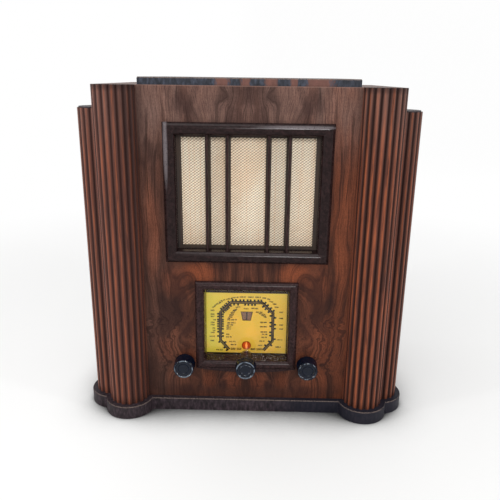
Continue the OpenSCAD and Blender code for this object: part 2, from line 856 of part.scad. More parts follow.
// Case of the shadow meter behind the small window
module tuning_meter() {
    w = window_top_w + 5;
    h = window_h + 3;
    color([0.30, 0.26, 0.22]) inside() difference() {
        block(0, w, 28, bracket_y, window_z - h / 2, window_z + h / 2);
        block(0, w - 2, 28 - past, bracket_y - 2, window_z - h / 2 + 1, window_z + h / 2 - 1);
        for (s = [-1, 1])
            translate([0, 36, window_z + s * (h / 2 - 1)])
                cylinder(r = 0.6 + running_gap, h = 4, center = true);
    }
}

module meter_vane() {
    h = window_h - 0.4;
    color([0.06, 0.05, 0.05]) inside() {
        block(0, 9, 35.6, 36.4, window_z - h / 2, window_z + h / 2);
        translate([0, 36, window_z - window_h / 2 - 1.2]) cylinder(r = 0.6, h = window_h + 2.4);
    }
}

module pointer() {
    arm_y = 23.4;
    reach = norm(track_corner(2)) + 1.4;
    start = pointer_sweep / 2 - 270;
    color([0.62, 0.16, 0.08]) inside() difference() {
        union() {
            round_y(0, pointer_z, shaft_r + 2, arm_y, 29);
            translate([0, 0, pointer_z]) rotate([0, -start, 0])
                block(reach / 2, reach, arm_y, arm_y + 0.8, -0.7, 0.7);
            translate([0, 0, pointer_z]) rotate([0, -start, 0])
                block(-6, 12, arm_y, arm_y + 0.8, -1.5, 1.5);
        }
        round_y(0, pointer_z, shaft_r + running_gap, arm_y + 1.6, 29 + past);
    }
}

// Friction disc, pinion and shaft that turn together and carry the pointer
module drive_disc() {
    color([0.78, 0.66, 0.36]) inside() {
        difference() {
            round_y(0, pointer_z, disc_r, disc_y, disc_y + disc_t);
            for (a = [0 : 60 : 300])
                translate([0, 0, pointer_z]) rotate([0, a, 0])
                    round_y(0, disc_r * 0.62, disc_r * 0.2, disc_y - past, disc_y + disc_t + past);
        }
        round_y(0, pointer_z, shaft_r, 25, gear_y + gear_t + 1);
        round_y(0, pointer_z, shaft_r + 4, disc_y - 2, gear_y);
        translate([0, gear_y + gear_t, pointer_z]) rotate([90, 0, 0])
            linear_extrude(gear_t) gear_plan(pinion_teeth, 0);
    }
}

// Controls

// A round knob along Y with a wider foot and a bright rim round its sunk face
module knob(x, gap, centre_r) {
    foot_r = knob_r + knob_flare;
    rim = 1.4;
    length = knob_gap + knob_len - gap;
    sunk = length - 1;
    color([0.05, 0.06, 0.08]) inside() translate([x, -gap, shaft_z]) rotate([90, 0, 0])
        difference() {
            rotate_extrude() polygon([
                [0, 0], [foot_r, 0], [foot_r, 3.4], [foot_r - knob_flare / 2, 4.2], [knob_r + 0.1, 5],
                [knob_r, length - 1.6], [knob_r - 1, length], [knob_r - 1 - rim, length],
                [knob_r - 2 - rim, sunk], [centre_r + 1, sunk], [centre_r, sunk + 0.6],
                [0, sunk + 0.8]
            ]);
            translate([0, 0, -past])
                cylinder(r = shaft_r + running_gap, h = length - knob_face_t + past);
        }
}

knob_face_t = 5;
shaft_front = knob_face_t - knob_gap - knob_len;
tuning_gap = dial_crown + 1.5;

module tuning_knob() { knob(0, tuning_gap, 7); }
module volume_knob() { knob(-knob_x, knob_gap, 2); }
module wave_knob() { knob(knob_x, knob_gap, 2); }

// Tuning shaft with the grooved roller that grips the disc
module tuning_spindle() {
    lip_r = roller_r + 2;
    color([0.75, 0.64, 0.36]) inside() {
        round_y(0, shaft_z, shaft_r, shaft_front, chassis_y + 6);
        round_y(0, shaft_z, roller_r, disc_y - 1.6, disc_y + disc_t + 1.6);
        round_y(0, shaft_z, lip_r, disc_y - 1.6, disc_y - 0.2);
        round_y(0, shaft_z, lip_r, disc_y + disc_t + 0.2, disc_y + disc_t + 1.6);
    }
}

module volume_shaft() {
    color([0.72, 0.72, 0.74]) inside() {
        round_y(-knob_x, shaft_z, shaft_r, shaft_front, chassis_y + 12);
        block(-knob_x, 4, chassis_y + 9, chassis_y + 11, shaft_z, shaft_z + 8);
    }
}

module volume_control() {
    can_end = chassis_y + chassis_t + 14;
    color([0.55, 0.52, 0.48]) inside() difference() {
        union() {
            round_y(-knob_x, shaft_z, 11, chassis_y + chassis_t, can_end);
            round_y(-knob_x, shaft_z, shaft_hole_r - fit_gap, chassis_y - 7, chassis_y + 3);
            translate([-knob_x, chassis_y - 2.5, shaft_z]) along_y()
                cylinder(r = 8, h = 2.5, $fn = 6);
        }
        round_y(-knob_x, shaft_z, shaft_r + running_gap, chassis_y - 7 - past, can_end - 2);
        round_y(-knob_x, shaft_z, 9.5, chassis_y + chassis_t + 2, can_end - 1.5);
    }
}

wafer_y = [chassis_y + 16, chassis_y + 32];

module wave_shaft() {
    color([0.72, 0.72, 0.74]) inside() {
        round_y(knob_x, shaft_z, shaft_r, shaft_front, chassis_y + 38);
        for (y = wafer_y) {
            round_y(knob_x, shaft_z, 6.4, y, y + 2);
            block(knob_x, 3, y, y + 2, shaft_z, shaft_z + 7);
        }
    }
}

module wave_switch() {
    wafer_r = 11;
    color([0.58, 0.42, 0.26]) inside() difference() {
        union() {
            block(knob_x, 30, chassis_y + chassis_t, chassis_y + chassis_t + 4,
                shaft_z - wafer_r, shaft_z + wafer_r);
            for (s = [-1, 1])
                round_y(knob_x + s * 10, shaft_z, 1.5, chassis_y + chassis_t, chassis_y + 38);
            for (y = wafer_y) round_y(knob_x, shaft_z, wafer_r, y, y + 2);
            round_y(knob_x, shaft_z, shaft_hole_r - fit_gap, chassis_y - 7, chassis_y + 3);
            translate([knob_x, chassis_y - 2.5, shaft_z]) along_y()
                cylinder(r = 8, h = 2.5, $fn = 6);
        }
        round_y(knob_x, shaft_z, shaft_r + running_gap, chassis_y - 8, chassis_y + 8);
        for (y = wafer_y) round_y(knob_x, shaft_z, 7.6, y - past, y + 2 + past);
    }
}

// Chassis

module chassis() {
    flange = 30;
    y0 = chassis_y;
    y1 = chassis_back;
    tray_0 = y0 + chassis_t + fit_gap;
    tray_1 = y1 - chassis_t - fit_gap;
    color([0.62, 0.60, 0.56]) inside() {
        // front plate with the bearing of the tuning shaft
        difference() {
            union() {
                block(0, chassis_w, y0, y0 + chassis_t, 0, chassis_h);
                round_y(0, shaft_z, shaft_r + 3, y0 - 5, y0 + chassis_t);
            }
            round_y(0, shaft_z, shaft_r + running_gap, y0 - 6, y0 + chassis_t + past);
            for (s = [-1, 1])
                round_y(s * knob_x, shaft_z, shaft_hole_r, y0 - past, y0 + chassis_t + past);
        }
        // back plate with the holes for the sockets and the cable
        difference() {
            block(0, chassis_w, y1 - chassis_t, y1, 0, chassis_h);
            for (x = socket_x)
                round_y(x, socket_z, socket_r + 2.5, y1 - chassis_t - past, y1 + past);
            round_y(gland_x, socket_z, gland_r + 2, y1 - chassis_t - past, y1 + past);
        }
        // deck, folded down at both ends and out to the flanges
        block(0, chassis_w, tray_0, tray_1, chassis_h - chassis_t, chassis_h);
        for (s = [-1, 1]) {
            block(s * (chassis_w - chassis_t) / 2, chassis_t, tray_0, tray_1, 0, chassis_h);
            difference() {
                block(s * (chassis_w - flange) / 2, flange, tray_0, tray_1, 0, chassis_t);
                for (y = bolt_y)
                    translate([s * bolt_x, y, -past]) cylinder(r = bolt_r + fit_gap, h = 5);
            }
        }
    }
}

// Bolts up through the plinth, each with its nut on the chassis flange
module chassis_bolts() {
    head = 4;
    seat = 6;
    color([0.66, 0.66, 0.68]) translate([0, face_y, 0])
        for (s = [-1, 1])
            for (y = bolt_y)
                translate([s * bolt_x, y, 0]) {
                    translate([0, 0, seat - head]) cylinder(r = 6, h = head);
                    translate([0, 0, seat - 1])
                        cylinder(r = bolt_r, h = plinth_h + chassis_t + 7 - seat);
                    translate([0, 0, plinth_h + chassis_t]) cylinder(r = 5.8, h = 4, $fn = 6);
                }
}

// Places its children on the chassis top, at p = [x, depth behind the chassis front]
module on_chassis(p) {
    inside() translate([p[0], chassis_y + p[1], chassis_h]) children();
}

// A box on its foot with its upright edges cut at 45 degrees
module can(w, d, h, cut) {
    x = w / 2;
    y = d / 2;
    linear_extrude(h) polygon([
        [cut - x, -y], [x - cut, -y], [x, cut - y], [x, y - cut],
        [x - cut, y], [cut - x, y], [-x, y - cut], [-x, cut - y]
    ]);
}

module power_transformer() {
    color([0.16, 0.16, 0.17]) on_chassis(transformer_at) {
        cap = transformer_h / 10;
        can(transformer_w, transformer_d, 3, 4);
        can(0.78 * transformer_w, 0.74 * transformer_d, transformer_h - cap, 3);
        can(0.97 * transformer_w, 0.91 * transformer_d, transformer_h * 0.7, 2);
        translate([0, 0, transformer_h - cap])
            can(0.67 * transformer_w, 0.62 * transformer_d, cap, 6);
    }
}

module smoothing_cans() {
    color([0.78, 0.79, 0.80])
        for (p = smoothing_at)
            on_chassis(p) {
                cylinder(r = smoothing_r + 2, h = 3);
                cylinder(r = smoothing_r, h = smoothing_h - 2);
                cylinder(r = smoothing_r - 1.5, h = smoothing_h);
            }
}

module coil_cans() {
    color([0.80, 0.80, 0.81])
        for (p = coil_at)
            on_chassis(p) {
                can(38, 36, 2, 2);
                can(34, 34, coil_can_h, 4);
            }
}

valve_at = [rectifier_at, output_at, mixer_at, if_at, detector_at];

module valve_sockets() {
    color([0.45, 0.28, 0.14])
        for (p = valve_at)
            on_chassis(p) difference() {
                cylinder(r = socket_plate_r, h = socket_plate_h);
                for (a = [0 : 72 : 288])
                    rotate(a) translate([8, 0, -past])
                        cylinder(r = 1.6, h = socket_plate_h + 2 * past);
            }
}

// A valve: moulded base, shouldered glass bulb with a domed top, and its pins
module valve(p) {
    shoulder = valve_base_h + 0.28 * (valve_h - valve_base_h);
    neck = shoulder + 0.3 * (valve_h - valve_base_h);
    dome_r = valve_r * 0.62;
    on_chassis(p) translate([0, 0, socket_plate_h]) {
        cylinder(r = valve_base_r, h = valve_base_h);
        translate([0, 0, valve_base_h])
            cylinder(r1 = valve_base_r - 1, r2 = valve_r, h = shoulder - valve_base_h);
        translate([0, 0, shoulder]) cylinder(r1 = valve_r, r2 = dome_r, h = neck - shoulder);
        translate([0, 0, neck]) cylinder(r = dome_r, h = valve_h - dome_r - neck);
        translate([0, 0, valve_h - dome_r]) sphere(r = dome_r);
        for (a = [0 : 72 : 288])
            rotate(a) translate([8, 0, -socket_plate_h]) cylinder(r = 1.2, h = socket_plate_h + 1);
    }
}

module rectifier_valve() { color([0.80, 0.85, 0.85, 0.5]) valve(rectifier_at); }
module output_valve() { color([0.80, 0.85, 0.85, 0.5]) valve(output_at); }
module mixer_valve() { color([0.70, 0.72, 0.70, 0.5]) valve(mixer_at); }
module if_valve() { color([0.70, 0.72, 0.70, 0.5]) valve(if_at); }
module detector_valve() { color([0.70, 0.72, 0.70, 0.5]) valve(detector_at); }

// Open-topped screening cans round the three small-signal valves
module valve_shields() {
    shield_r = valve_r + 1.5;
    color([0.76, 0.77, 0.78])
        for (p = [mixer_at, if_at, detector_at])
            on_chassis(p) difference() {
                cylinder(r = shield_r, h = 0.75 * valve_h);
                translate([0, 0, -past]) cylinder(r = shield_r - 0.8, h = valve_h + past);
            }
}

// Tuning capacitor

section_y = [gang_y + 12, gang_y + 33, gang_y + 54];

module gang_frame() {
    base_z = chassis_h;
    color([0.72, 0.70, 0.66]) inside() difference() {
        union() {
            block(gang_left + gang_w / 2, gang_w, gang_y, gang_y + gang_len, base_z, base_z + 1.5);
            for (y = [gang_y, gang_y + gang_len - gang_plate_t])
                block(gang_left + gang_w / 2, gang_w, y, y + gang_plate_t, base_z, base_z + gang_h);
        }
        round_y(gang_x, pointer_z, shaft_r + running_gap, gang_y - past, gang_y + gang_len + past);
    }
}

// Fixed vanes of the three sections, on two rods between the end plates
module gang_stators() {
    gaps = vane_count - 1;
    outer = vane_r + 3;
    color([0.80, 0.80, 0.82]) inside() {
        for (y = section_y)
            for (i = [0 : gaps - 1])
                translate([gang_x, y + (i - (gaps - 1) / 2) * vane_pitch + vane_t / 2, pointer_z])
                    rotate([90, 0, 0]) linear_extrude(vane_t) difference() {
                        intersection() {
                            circle(outer);
                            translate([1, -outer]) square([outer, 2 * outer]);
                        }
                        circle(shaft_r + 4);
                    }
        for (y = section_y)
            block(gang_x + outer, 3, y - gaps * vane_pitch / 2, y + gaps * vane_pitch / 2,
                pointer_z - 11, pointer_z + 11);
        for (z = [-8, 8])
            round_y(gang_x + outer + 1, pointer_z + z, 1.4, gang_y + gang_plate_t,
                gang_y + gang_len - gang_plate_t);
    }
}

// Moving vanes, their shaft and the gear on its front end
module gang_rotor() {
    mesh_turn = 180 + 180 / gear_teeth;
    color([0.84, 0.84, 0.86]) inside() {
        round_y(gang_x, pointer_z, shaft_r, gear_y - 1, gang_y + gang_len + 5);
        for (y = section_y)
            round_y(gang_x, pointer_z, shaft_r + 2, y - vane_count * vane_pitch / 2,
                y + vane_count * vane_pitch / 2);
        for (y = section_y)
            for (i = [0 : vane_count - 1])
                translate([gang_x, y + (i - (vane_count - 1) / 2) * vane_pitch + vane_t / 2,
                           pointer_z])
                    rotate([90, 0, 0]) linear_extrude(vane_t) intersection() {
                        circle(vane_r);
                        translate([0, -vane_r]) square([vane_r, 2 * vane_r]);
                    }
        difference() {
            translate([gang_x, gear_y + gear_t, pointer_z]) rotate([90, 0, 0])
                linear_extrude(gear_t) gear_plan(gear_teeth, mesh_turn);
            for (a = [0 : 60 : 300])
                translate([gang_x, 0, pointer_z]) rotate([0, a, 0])
                    round_y(0, gear_pitch_r * 0.58, gear_pitch_r * 0.2, gear_y - past,
                        gear_y + gear_t + past);
        }
    }
}

// Connections

module socket_strip() {
    y1 = chassis_back + strip_t;
    w = socket_x[3] - socket_x[0] + 18;
    color([0.52, 0.34, 0.18]) inside() difference() {
        union() {
            block((socket_x[0] + socket_x[3]) / 2, w, chassis_back, y1,
                socket_z - 9, socket_z + 9);
            for (x = socket_x) {
                round_y(x, socket_z, socket_r + 1.5, y1 + 2 - socket_len, y1 + 2);
                round_y(x, socket_z, socket_r + 3, y1, y1 + 2);
            }
        }
        for (x = socket_x) round_y(x, socket_z, socket_r, y1 - socket_len - past, y1 + 2 + past);
    }
}

// Rubber grommet that the mains cable goes through
module mains_gland() {
    y1 = chassis_back;
    color([0.06, 0.06, 0.06]) inside() difference() {
        union() {
            round_y(gland_x, socket_z, gland_r + 2 - fit_gap / 3, y1 - chassis_t, y1);
            round_y(gland_x, socket_z, gland_r + 4, y1, y1 + 4);
            round_y(gland_x, socket_z, gland_r + 4, y1 - chassis_t - 3, y1 - chassis_t);
        }
        round_y(gland_x, socket_z, gland_r, y1 - chassis_t - 3 - past, y1 + 4 + past);
    }
}

plinth();
front_panel();
side_panel(-1);  // side_panel_left
side_panel(1);  // side_panel_right
top_panel();
top_block();
column_front(-1);  // column_front_left
column_front(1);  // column_front_right
column_side(-1);  // column_side_left
column_side(1);  // column_side_right
step_caps();
battens();
back_cover();
back_screws();
grille_frame();
grille_bars();
grille_spacer();
grille_cloth();
speaker_baffle();
speaker_basket();
speaker_surround();
speaker_cone();
speaker_magnet();
output_transformer();
speaker_lead();
dial_frame();
dial_glass();
dial_scale();
indicator_lens();
dial_bracket();
dial_lamps();
tuning_meter();
meter_vane();
pointer();
drive_disc();
tuning_knob();
tuning_spindle();
volume_knob();
volume_shaft();
volume_control();
wave_knob();
wave_shaft();
wave_switch();
chassis();
chassis_bolts();
power_transformer();
smoothing_cans();
coil_cans();
valve_sockets();
rectifier_valve();
output_valve();
mixer_valve();
if_valve();
detector_valve();
valve_shields();
gang_frame();
gang_stators();
gang_rotor();
socket_strip();
mains_gland();
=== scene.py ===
"""Dresses the table radio receiver: veneer, reeds, moulded frames, cloth, dial print and knobs.

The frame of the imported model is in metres: X to the right, Y from the front to the back, Z up,
with the origin under the middle of the plinth. Patterns, outlines and prints are in millimetres,
and those on the front panel give heights over the plinth.
"""

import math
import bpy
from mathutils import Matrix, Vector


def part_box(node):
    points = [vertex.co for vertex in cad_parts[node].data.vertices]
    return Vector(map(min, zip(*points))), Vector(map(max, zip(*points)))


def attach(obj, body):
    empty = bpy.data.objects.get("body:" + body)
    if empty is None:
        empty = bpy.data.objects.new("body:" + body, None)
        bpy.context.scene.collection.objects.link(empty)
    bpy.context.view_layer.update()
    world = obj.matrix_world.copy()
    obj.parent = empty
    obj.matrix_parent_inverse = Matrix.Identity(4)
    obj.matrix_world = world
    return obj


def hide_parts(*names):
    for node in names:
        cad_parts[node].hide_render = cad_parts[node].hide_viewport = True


bl_info = {
    "name": "Table Radio Receiver",
    "version": (1, 0, 0),
    "blender": (4, 5, 0),
    "location": "3D View > Sidebar > Radio",
    "description": "Finishes and fine pieces of a veneered table radio receiver",
    "category": "Object",
}

import bpy
from mathutils import Vector

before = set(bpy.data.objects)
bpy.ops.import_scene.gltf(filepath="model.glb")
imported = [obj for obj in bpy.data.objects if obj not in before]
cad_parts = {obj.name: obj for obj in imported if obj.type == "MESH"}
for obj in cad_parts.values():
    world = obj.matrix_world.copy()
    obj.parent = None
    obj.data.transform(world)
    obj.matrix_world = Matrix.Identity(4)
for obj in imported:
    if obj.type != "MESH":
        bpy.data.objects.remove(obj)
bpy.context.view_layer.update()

MM = 0.001
BASE_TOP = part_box("plinth")[1].z
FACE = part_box("front_panel")[0].y


def middle(node):
    """The middle of a CAD node's box."""
    low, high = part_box(node)
    return (low + high) / 2


def over_plinth(height):
    """A height in metres as millimetres over the plinth."""
    return (height - BASE_TOP) / MM


# The plinth's top over the ground, and the panel's top over the plinth, in millimetres
DECK = BASE_TOP / MM
TOP_EDGE = over_plinth(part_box("front_panel")[1].z)
# Middle and radius of a front column, and where a side column starts, in millimetres
COLUMN_X = middle("column_front_right").x / MM
COLUMN_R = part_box("column_front_right")[1].x / MM - COLUMN_X
SIDE_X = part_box("column_side_right")[0].x / MM


# Shader maths


class Value:
    """A number that changes over a surface; a sum or product of it adds a Math node."""

    def __init__(self, shader, socket):
        self.shader = shader
        self.socket = socket

    def __add__(self, other):
        return self.shader.maths("ADD", self, other)

    def __sub__(self, other):
        return self.shader.maths("SUBTRACT", self, other)

    def __rsub__(self, other):
        return self.shader.maths("SUBTRACT", other, self)

    def __mul__(self, other):
        return self.shader.maths("MULTIPLY", self, other)

    def __truediv__(self, other):
        return self.shader.maths("DIVIDE", self, other)

    def __pow__(self, other):
        return self.shader.maths("POWER", self, other)

    def __abs__(self):
        return self.shader.maths("ABSOLUTE", self)

    __radd__ = __add__
    __rmul__ = __mul__


class Shader:
    """A material, the nodes that feed its surface and the colour laid on it so far."""

    def __init__(self, name):
        self.material = bpy.data.materials.new(name)
        self.material.use_nodes = True
        self.tree = self.material.node_tree
        self.surface = self.tree.nodes["Principled BSDF"]
        self.point = self.place()
        self.colour = None

    def node(self, kind, settings=None, sockets=None):
        """A node with its settings, then the values or links of its sockets."""
        made = self.tree.nodes.new(kind)
        for key, value in (settings or {}).items():
            if key == "stops":
                self.set_stops(made, value)
            else:
                setattr(made, key, value)
        for key, value in (sockets or {}).items():
            self.feed(made.inputs[key], value)
        return made

    def value(self, kind, settings=None, sockets=None, output=0):
        """One output of a new node, as a number."""
        return Value(self, self.node(kind, settings, sockets).outputs[output])

    def feed(self, socket, value):
        if isinstance(value, Value):
            self.tree.links.new(value.socket, socket)
        elif isinstance(value, bpy.types.NodeSocket):
            self.tree.links.new(value, socket)
        else:
            socket.default_value = value

    @staticmethod
    def set_stops(made, stops):
        elements = made.color_ramp.elements
        while len(elements) < len(stops):
            elements.new(0.5)
        for element, (place, colour) in zip(elements, stops):
            element.position = place
            element.color = colour

    def maths(self, operation, *terms):
        return self.value("ShaderNodeMath", {"operation": operation}, dict(enumerate(terms)))

    def split(self, vector):
        """The parts of a vector along X, Y and Z."""
        parts = self.node("ShaderNodeSeparateXYZ", None, {0: vector})
        return [Value(self, part) for part in parts.outputs]

    def place(self):
        """Object coordinates in millimetres."""
        coordinates = self.node("ShaderNodeTexCoord").outputs["Object"]
        sockets = {"Vector": coordinates, "Scale": 1 / MM}
        return self.split(
            self.node("ShaderNodeVectorMath", {"operation": "SCALE"}, sockets).outputs[0]
        )

    def facing(self):
        """The surface normal."""
        return self.split(self.node("ShaderNodeNewGeometry").outputs["Normal"])

    def vector(self, x, y, z):
        return self.node("ShaderNodeCombineXYZ", None, {0: x, 1: y, 2: z}).outputs[0]

    def noise(self, x, y, z, detail=3.0, roughness=0.5, distortion=0.0):
        sockets = {
            "Vector": self.vector(x, y, z),
            "Scale": 1.0,
            "Detail": detail,
            "Roughness": roughness,
            "Distortion": distortion,
        }
        return self.value("ShaderNodeTexNoise", None, sockets)

    def waves(self, pitch):
        """The place times a pitch per millimetre: one number, or one for each axis."""
        pitches = pitch if isinstance(pitch, tuple) else (pitch,) * 3
        return [part * one for part, one in zip(self.point, pitches)]

    def grain(self, pitch, detail=3.0, roughness=0.5, distortion=0.0):
        """Noise all over the piece."""
        return self.noise(*self.waves(pitch), detail, roughness, distortion)

    def cells(self, pitch):
        """Distance to the nearest of many scattered points."""
        sockets = {"Vector": self.vector(*self.waves(pitch)), "Scale": 1.0}
        return self.value("ShaderNodeTexVoronoi", None, sockets, "Distance")

    def smooth(self, value, low, high):
        """0 below low, 1 above high, and a smooth step between."""
        return self.value(
            "ShaderNodeMapRange",
            {"interpolation_type": "SMOOTHSTEP"},
            {"Value": value, "From Min": low, "From Max": high},
        )

    def fade(self, value, low, high):
        """1 below low, 0 above high, and a smooth step between."""
        return 1 - self.smooth(value, low, high)

    def mix(self, under, over, amount):
        """Two colours mixed, with this amount of the second."""
        sockets = {0: amount, 6: under, 7: over}
        return self.node("ShaderNodeMix", {"data_type": "RGBA"}, sockets).outputs[2]

    def ground(self, value, *stops):
        """The first coat: a ramp over this value, by (place, colour, factor)."""
        paints = [(place, paint(*tint)) for place, *tint in stops]
        self.colour = self.node("ShaderNodeValToRGB", {"stops": paints}, {0: value}).outputs[0]

    def lay(self, colour, amount, factor=1.0):
        """Lays a paint over the colour so far, by this amount."""
        self.colour = self.mix(self.colour, paint(colour, factor), amount)

    def finish(self, roughness, height=None, relief=0.1, specular=0.5, **uniform):
        """Feeds the surface: relief is the height of the bumps in millimetres."""
        self.feed(self.surface.inputs["Base Color"], self.colour)
        self.feed(self.surface.inputs["Roughness"], roughness)
        if height is not None:
            sockets = {"Height": height, "Strength": 1.0, "Distance": relief * MM}
            bump = self.node("ShaderNodeBump", None, sockets)
            self.feed(self.surface.inputs["Normal"], bump.outputs[0])
        self.surface.inputs["Specular IOR Level"].default_value = specular
        for key, value in uniform.items():
            self.surface.inputs[key.replace("_", " ")].default_value = value
        return self.material


def distance(across, along):
    """Distance from a line, by the two distances along its normals."""
    return (across * across + along * along) ** 0.5


def linear(level):
    """A level as a screen shows it, 0 to 1, turned into the light that it stands for."""
    return level / 12.92 if level <= 0.04045 else ((level + 0.055) / 1.055) ** 2.4


def paint(colour, factor=1.0):
    """A screen colour, made lighter or darker by a factor, as a colour socket takes it."""
    return (*(linear(min(1.0, level * factor)) for level in colour[:3]), 1.0)


# Sizes and colours


def colour_property(name, description, default):
    return bpy.props.FloatVectorProperty(
        name=name,
        description=description,
        default=default,
        subtype="COLOR_GAMMA",
        size=3,
        min=0.0,
        max=1.0,
    )


def length_property(name, description, default):
    return bpy.props.FloatProperty(
        name=name,
        description=description,
        default=default,
        min=0.0,
        subtype="DISTANCE",
        unit="LENGTH",
    )


def number_property(name, description, default):
    return bpy.props.FloatProperty(name=name, description=description, default=default)


class RadioWood(bpy.types.PropertyGroup):
    """Colours of the cabinet's woods."""

    veneer_dark: colour_property("Veneer dark", "Dark figure of the burr", (0.16, 0.095, 0.085))
    veneer_mid: colour_property("Veneer ground", "Ground of the burr", (0.33, 0.195, 0.145))
    veneer_light: colour_property("Veneer light", "Light figure of the burr", (0.42, 0.25, 0.18))
    veneer_glow: colour_property("Veneer glow", "Warm patches of the burr", (0.49, 0.255, 0.155))
    # Painted sheen: lighter, greyer wood near the top of the panel and of the reeds, and a painted
    # highlight along the panel's top edge
    veneer_sheen: colour_property("Veneer sheen", "Painted sheen near the top", (0.46, 0.355, 0.32))
    reed: colour_property("Reed", "Crests of the reeds", (0.39, 0.215, 0.16))
    # Also the painted highlight along the reeds' crests
    reed_warm: colour_property("Warm reed", "Warm streaks of the reeds", (0.52, 0.28, 0.17))
    # Also the painted shade in the grooves and on part of each front column
    reed_deep: colour_property("Reed groove", "Grooves between the reeds", (0.115, 0.06, 0.055))
    ebony: colour_property("Ebonised", "Plinth and caps", (0.17, 0.14, 0.155))
    # Painted highlight along the top edges of the dark wood
    ebony_glint: colour_property("Edge highlight", "Edges of the dark wood", (0.50, 0.44, 0.41))
    block_edge: colour_property("Block", "Raised block on the top", (0.16, 0.17, 0.20))
    block_patch: colour_property("Block patch", "Worn patches of its front", (0.40, 0.26, 0.22))


class RadioMouldings(bpy.types.PropertyGroup):
    """Colours of the moulded frames and knobs."""

    frame_dark: colour_property("Frame dark", "Dark mottle of the frames", (0.10, 0.05, 0.05))
    frame_light: colour_property("Frame light", "Light mottle of the frames", (0.215, 0.14, 0.14))
    knob: colour_property("Knob", "Moulded knobs", (0.02, 0.045, 0.095))


class RadioCloth(bpy.types.PropertyGroup):
    """Grille cloth."""

    light: colour_property("Thread", "Light thread", (1.0, 0.95, 0.86))
    dark: colour_property("Gap", "Dark gaps in the weave", (0.56, 0.43, 0.33))
    warm: colour_property("Age", "Aged tint", (0.95, 0.83, 0.70))
    across: length_property("Across", "Distance between columns of grains", 2.35 * MM)
    up: length_property("Up", "Distance between rows of grains", 1.78 * MM)


class RadioDial(bpy.types.PropertyGroup):
    """Dial plate and its print."""

    plate: colour_property("Plate", "Dial plate", (0.85, 0.69, 0.24))
    plate_edge: colour_property("Plate edge", "Greener left side of it", (0.86, 0.80, 0.29))
    ink: colour_property("Ink", "Track and window outline", (0.035, 0.03, 0.03))
    lens: colour_property("Lens", "Red window", (0.74, 0.28, 0.07))
    # Painted glow in the middle of the red window
    lens_glow: colour_property("Lens glow", "Middle of the red window", (0.97, 0.58, 0.27))
    screen: colour_property("Screen", "Shadow screen", (0.50, 0.35, 0.25))
    surround: colour_property("Surround", "Dark card round the plate", (0.13, 0.085, 0.06))
    figure_height: length_property("Figures", "Height of the small figures", 2.0 * MM)
    band: length_property("Band", "Distance of the black band's edge from the track", 2.1 * MM)


class RadioStage(bpy.types.PropertyGroup):
    """Camera, lamps and floor."""

    lens: number_property("Lens", "Focal length in millimetres", 40.32)
    floor: colour_property("Floor", "Floor and backdrop", (0.96, 0.96, 0.955))
    glow: number_property("Glow", "White share seen on the floor near the radio", 0.6)
    key_power: number_property("Key", "Front lamp in watts", 17.0)
    top_power: number_property("Top", "Overhead lamp in watts", 14.0)
    side_power: number_property("Sides", "Each side lamp in watts", 14.0)
    sky: number_property("Sky", "Strength of the world", 0.45)


# Shared steps


def inside(x, y, z):
    """A point from the middle of the panel's face at the top of the plinth, given in mm."""
    return Vector((x * MM, FACE + y * MM, BASE_TOP + z * MM))


def deselect():
    if bpy.context.object and bpy.context.object.mode != "OBJECT":
        bpy.ops.object.mode_set(mode="OBJECT")
    bpy.ops.object.select_all(action="DESELECT")


def pick(piece):
    """Selects one piece alone and makes it the active one."""
    deselect()
    bpy.context.view_layer.objects.active = piece
    piece.select_set(True)


def settle(piece, smooth=30.0):
    """Puts the piece's place in its mesh and smooths its shading."""
    pick(piece)
    bpy.ops.object.transform_apply(location=True, rotation=True, scale=True)
    if smooth:
        bpy.ops.object.shade_smooth_by_angle(angle=math.radians(smooth))


def dress(piece, name, material, body, slot, *replaced):
    """Names a new piece, gives it its material and joins it to its body."""
    piece.name = name
    piece.data.name = name
    piece.data.materials.clear()
    piece.data.materials.append(material)
    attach(piece, body)
    if replaced:
        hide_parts(*replaced)


def coat(material, *nodes):
    """Gives CAD nodes a material."""
    for node in nodes:
        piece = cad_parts[node]
        if not piece.material_slots:
            piece.data.materials.append(material)
        for held in piece.material_slots:
            held.material = material


def turned(x, z, steps, corners):
    """A closed round piece about a line along Y, from (radius, depth) steps in millimetres."""
    radius, depth = steps[0]
    deselect()
    bpy.ops.mesh.primitive_circle_add(
        vertices=corners,
        radius=radius * MM,
        fill_type="NGON",
        location=inside(x, depth, z),
        rotation=(math.pi / 2, 0, 0),
    )
    piece = bpy.context.object
    settle(piece, 0)
    bpy.ops.object.mode_set(mode="EDIT")
    bpy.ops.mesh.select_mode(type="FACE")
    bpy.ops.mesh.select_all(action="SELECT")
    for (old_r, old_y), (new_r, new_y) in zip(steps, steps[1:]):
        bpy.ops.mesh.extrude_region_move(
            TRANSFORM_OT_translate={"value": (0, (new_y - old_y) * MM, 0)}
        )
        grow = new_r / old_r
        bpy.ops.transform.resize(value=(grow, 1, grow), center_override=inside(x, new_y, z))
    bpy.ops.mesh.select_all(action="SELECT")
    bpy.ops.mesh.normals_make_consistent(inside=False)
    bpy.ops.object.mode_set(mode="OBJECT")
    settle(piece, 35)
    return piece


# Thickness of printed ink in millimetres
PRINT_THICKNESS = 0.08


def stand_up(piece, place, turn=0.0):
    """Turns a flat curve or text into a mesh that faces the front, at this place."""
    pick(piece)
    bpy.ops.object.convert(target="MESH")
    piece = bpy.context.object
    piece.rotation_euler = (0, 0, math.radians(turn))
    settle(piece, 0)
    piece.rotation_euler = (math.pi / 2, 0, 0)
    piece.location = place
    settle(piece, 0)
    return piece


def printed(outlines, depth, thickness=PRINT_THICKNESS):
    """A flat print in front of a face at this depth, from closed (x, z) outlines in mm."""
    curve = bpy.data.curves.new("print", "CURVE")
    curve.dimensions = "2D"
    curve.fill_mode = "BOTH"
    curve.extrude = thickness * MM / 2
    for outline in outlines:
        spline = curve.splines.new("POLY")
        spline.points.add(len(outline) - 1)
        for point, (x, z) in zip(spline.points, outline):
            point.co = (x * MM, z * MM, 0, 1)
        spline.use_cyclic_u = True
    piece = bpy.data.objects.new("print", curve)
    bpy.context.collection.objects.link(piece)
    return stand_up(piece, inside(0, depth - thickness / 2, 0))


# Wood

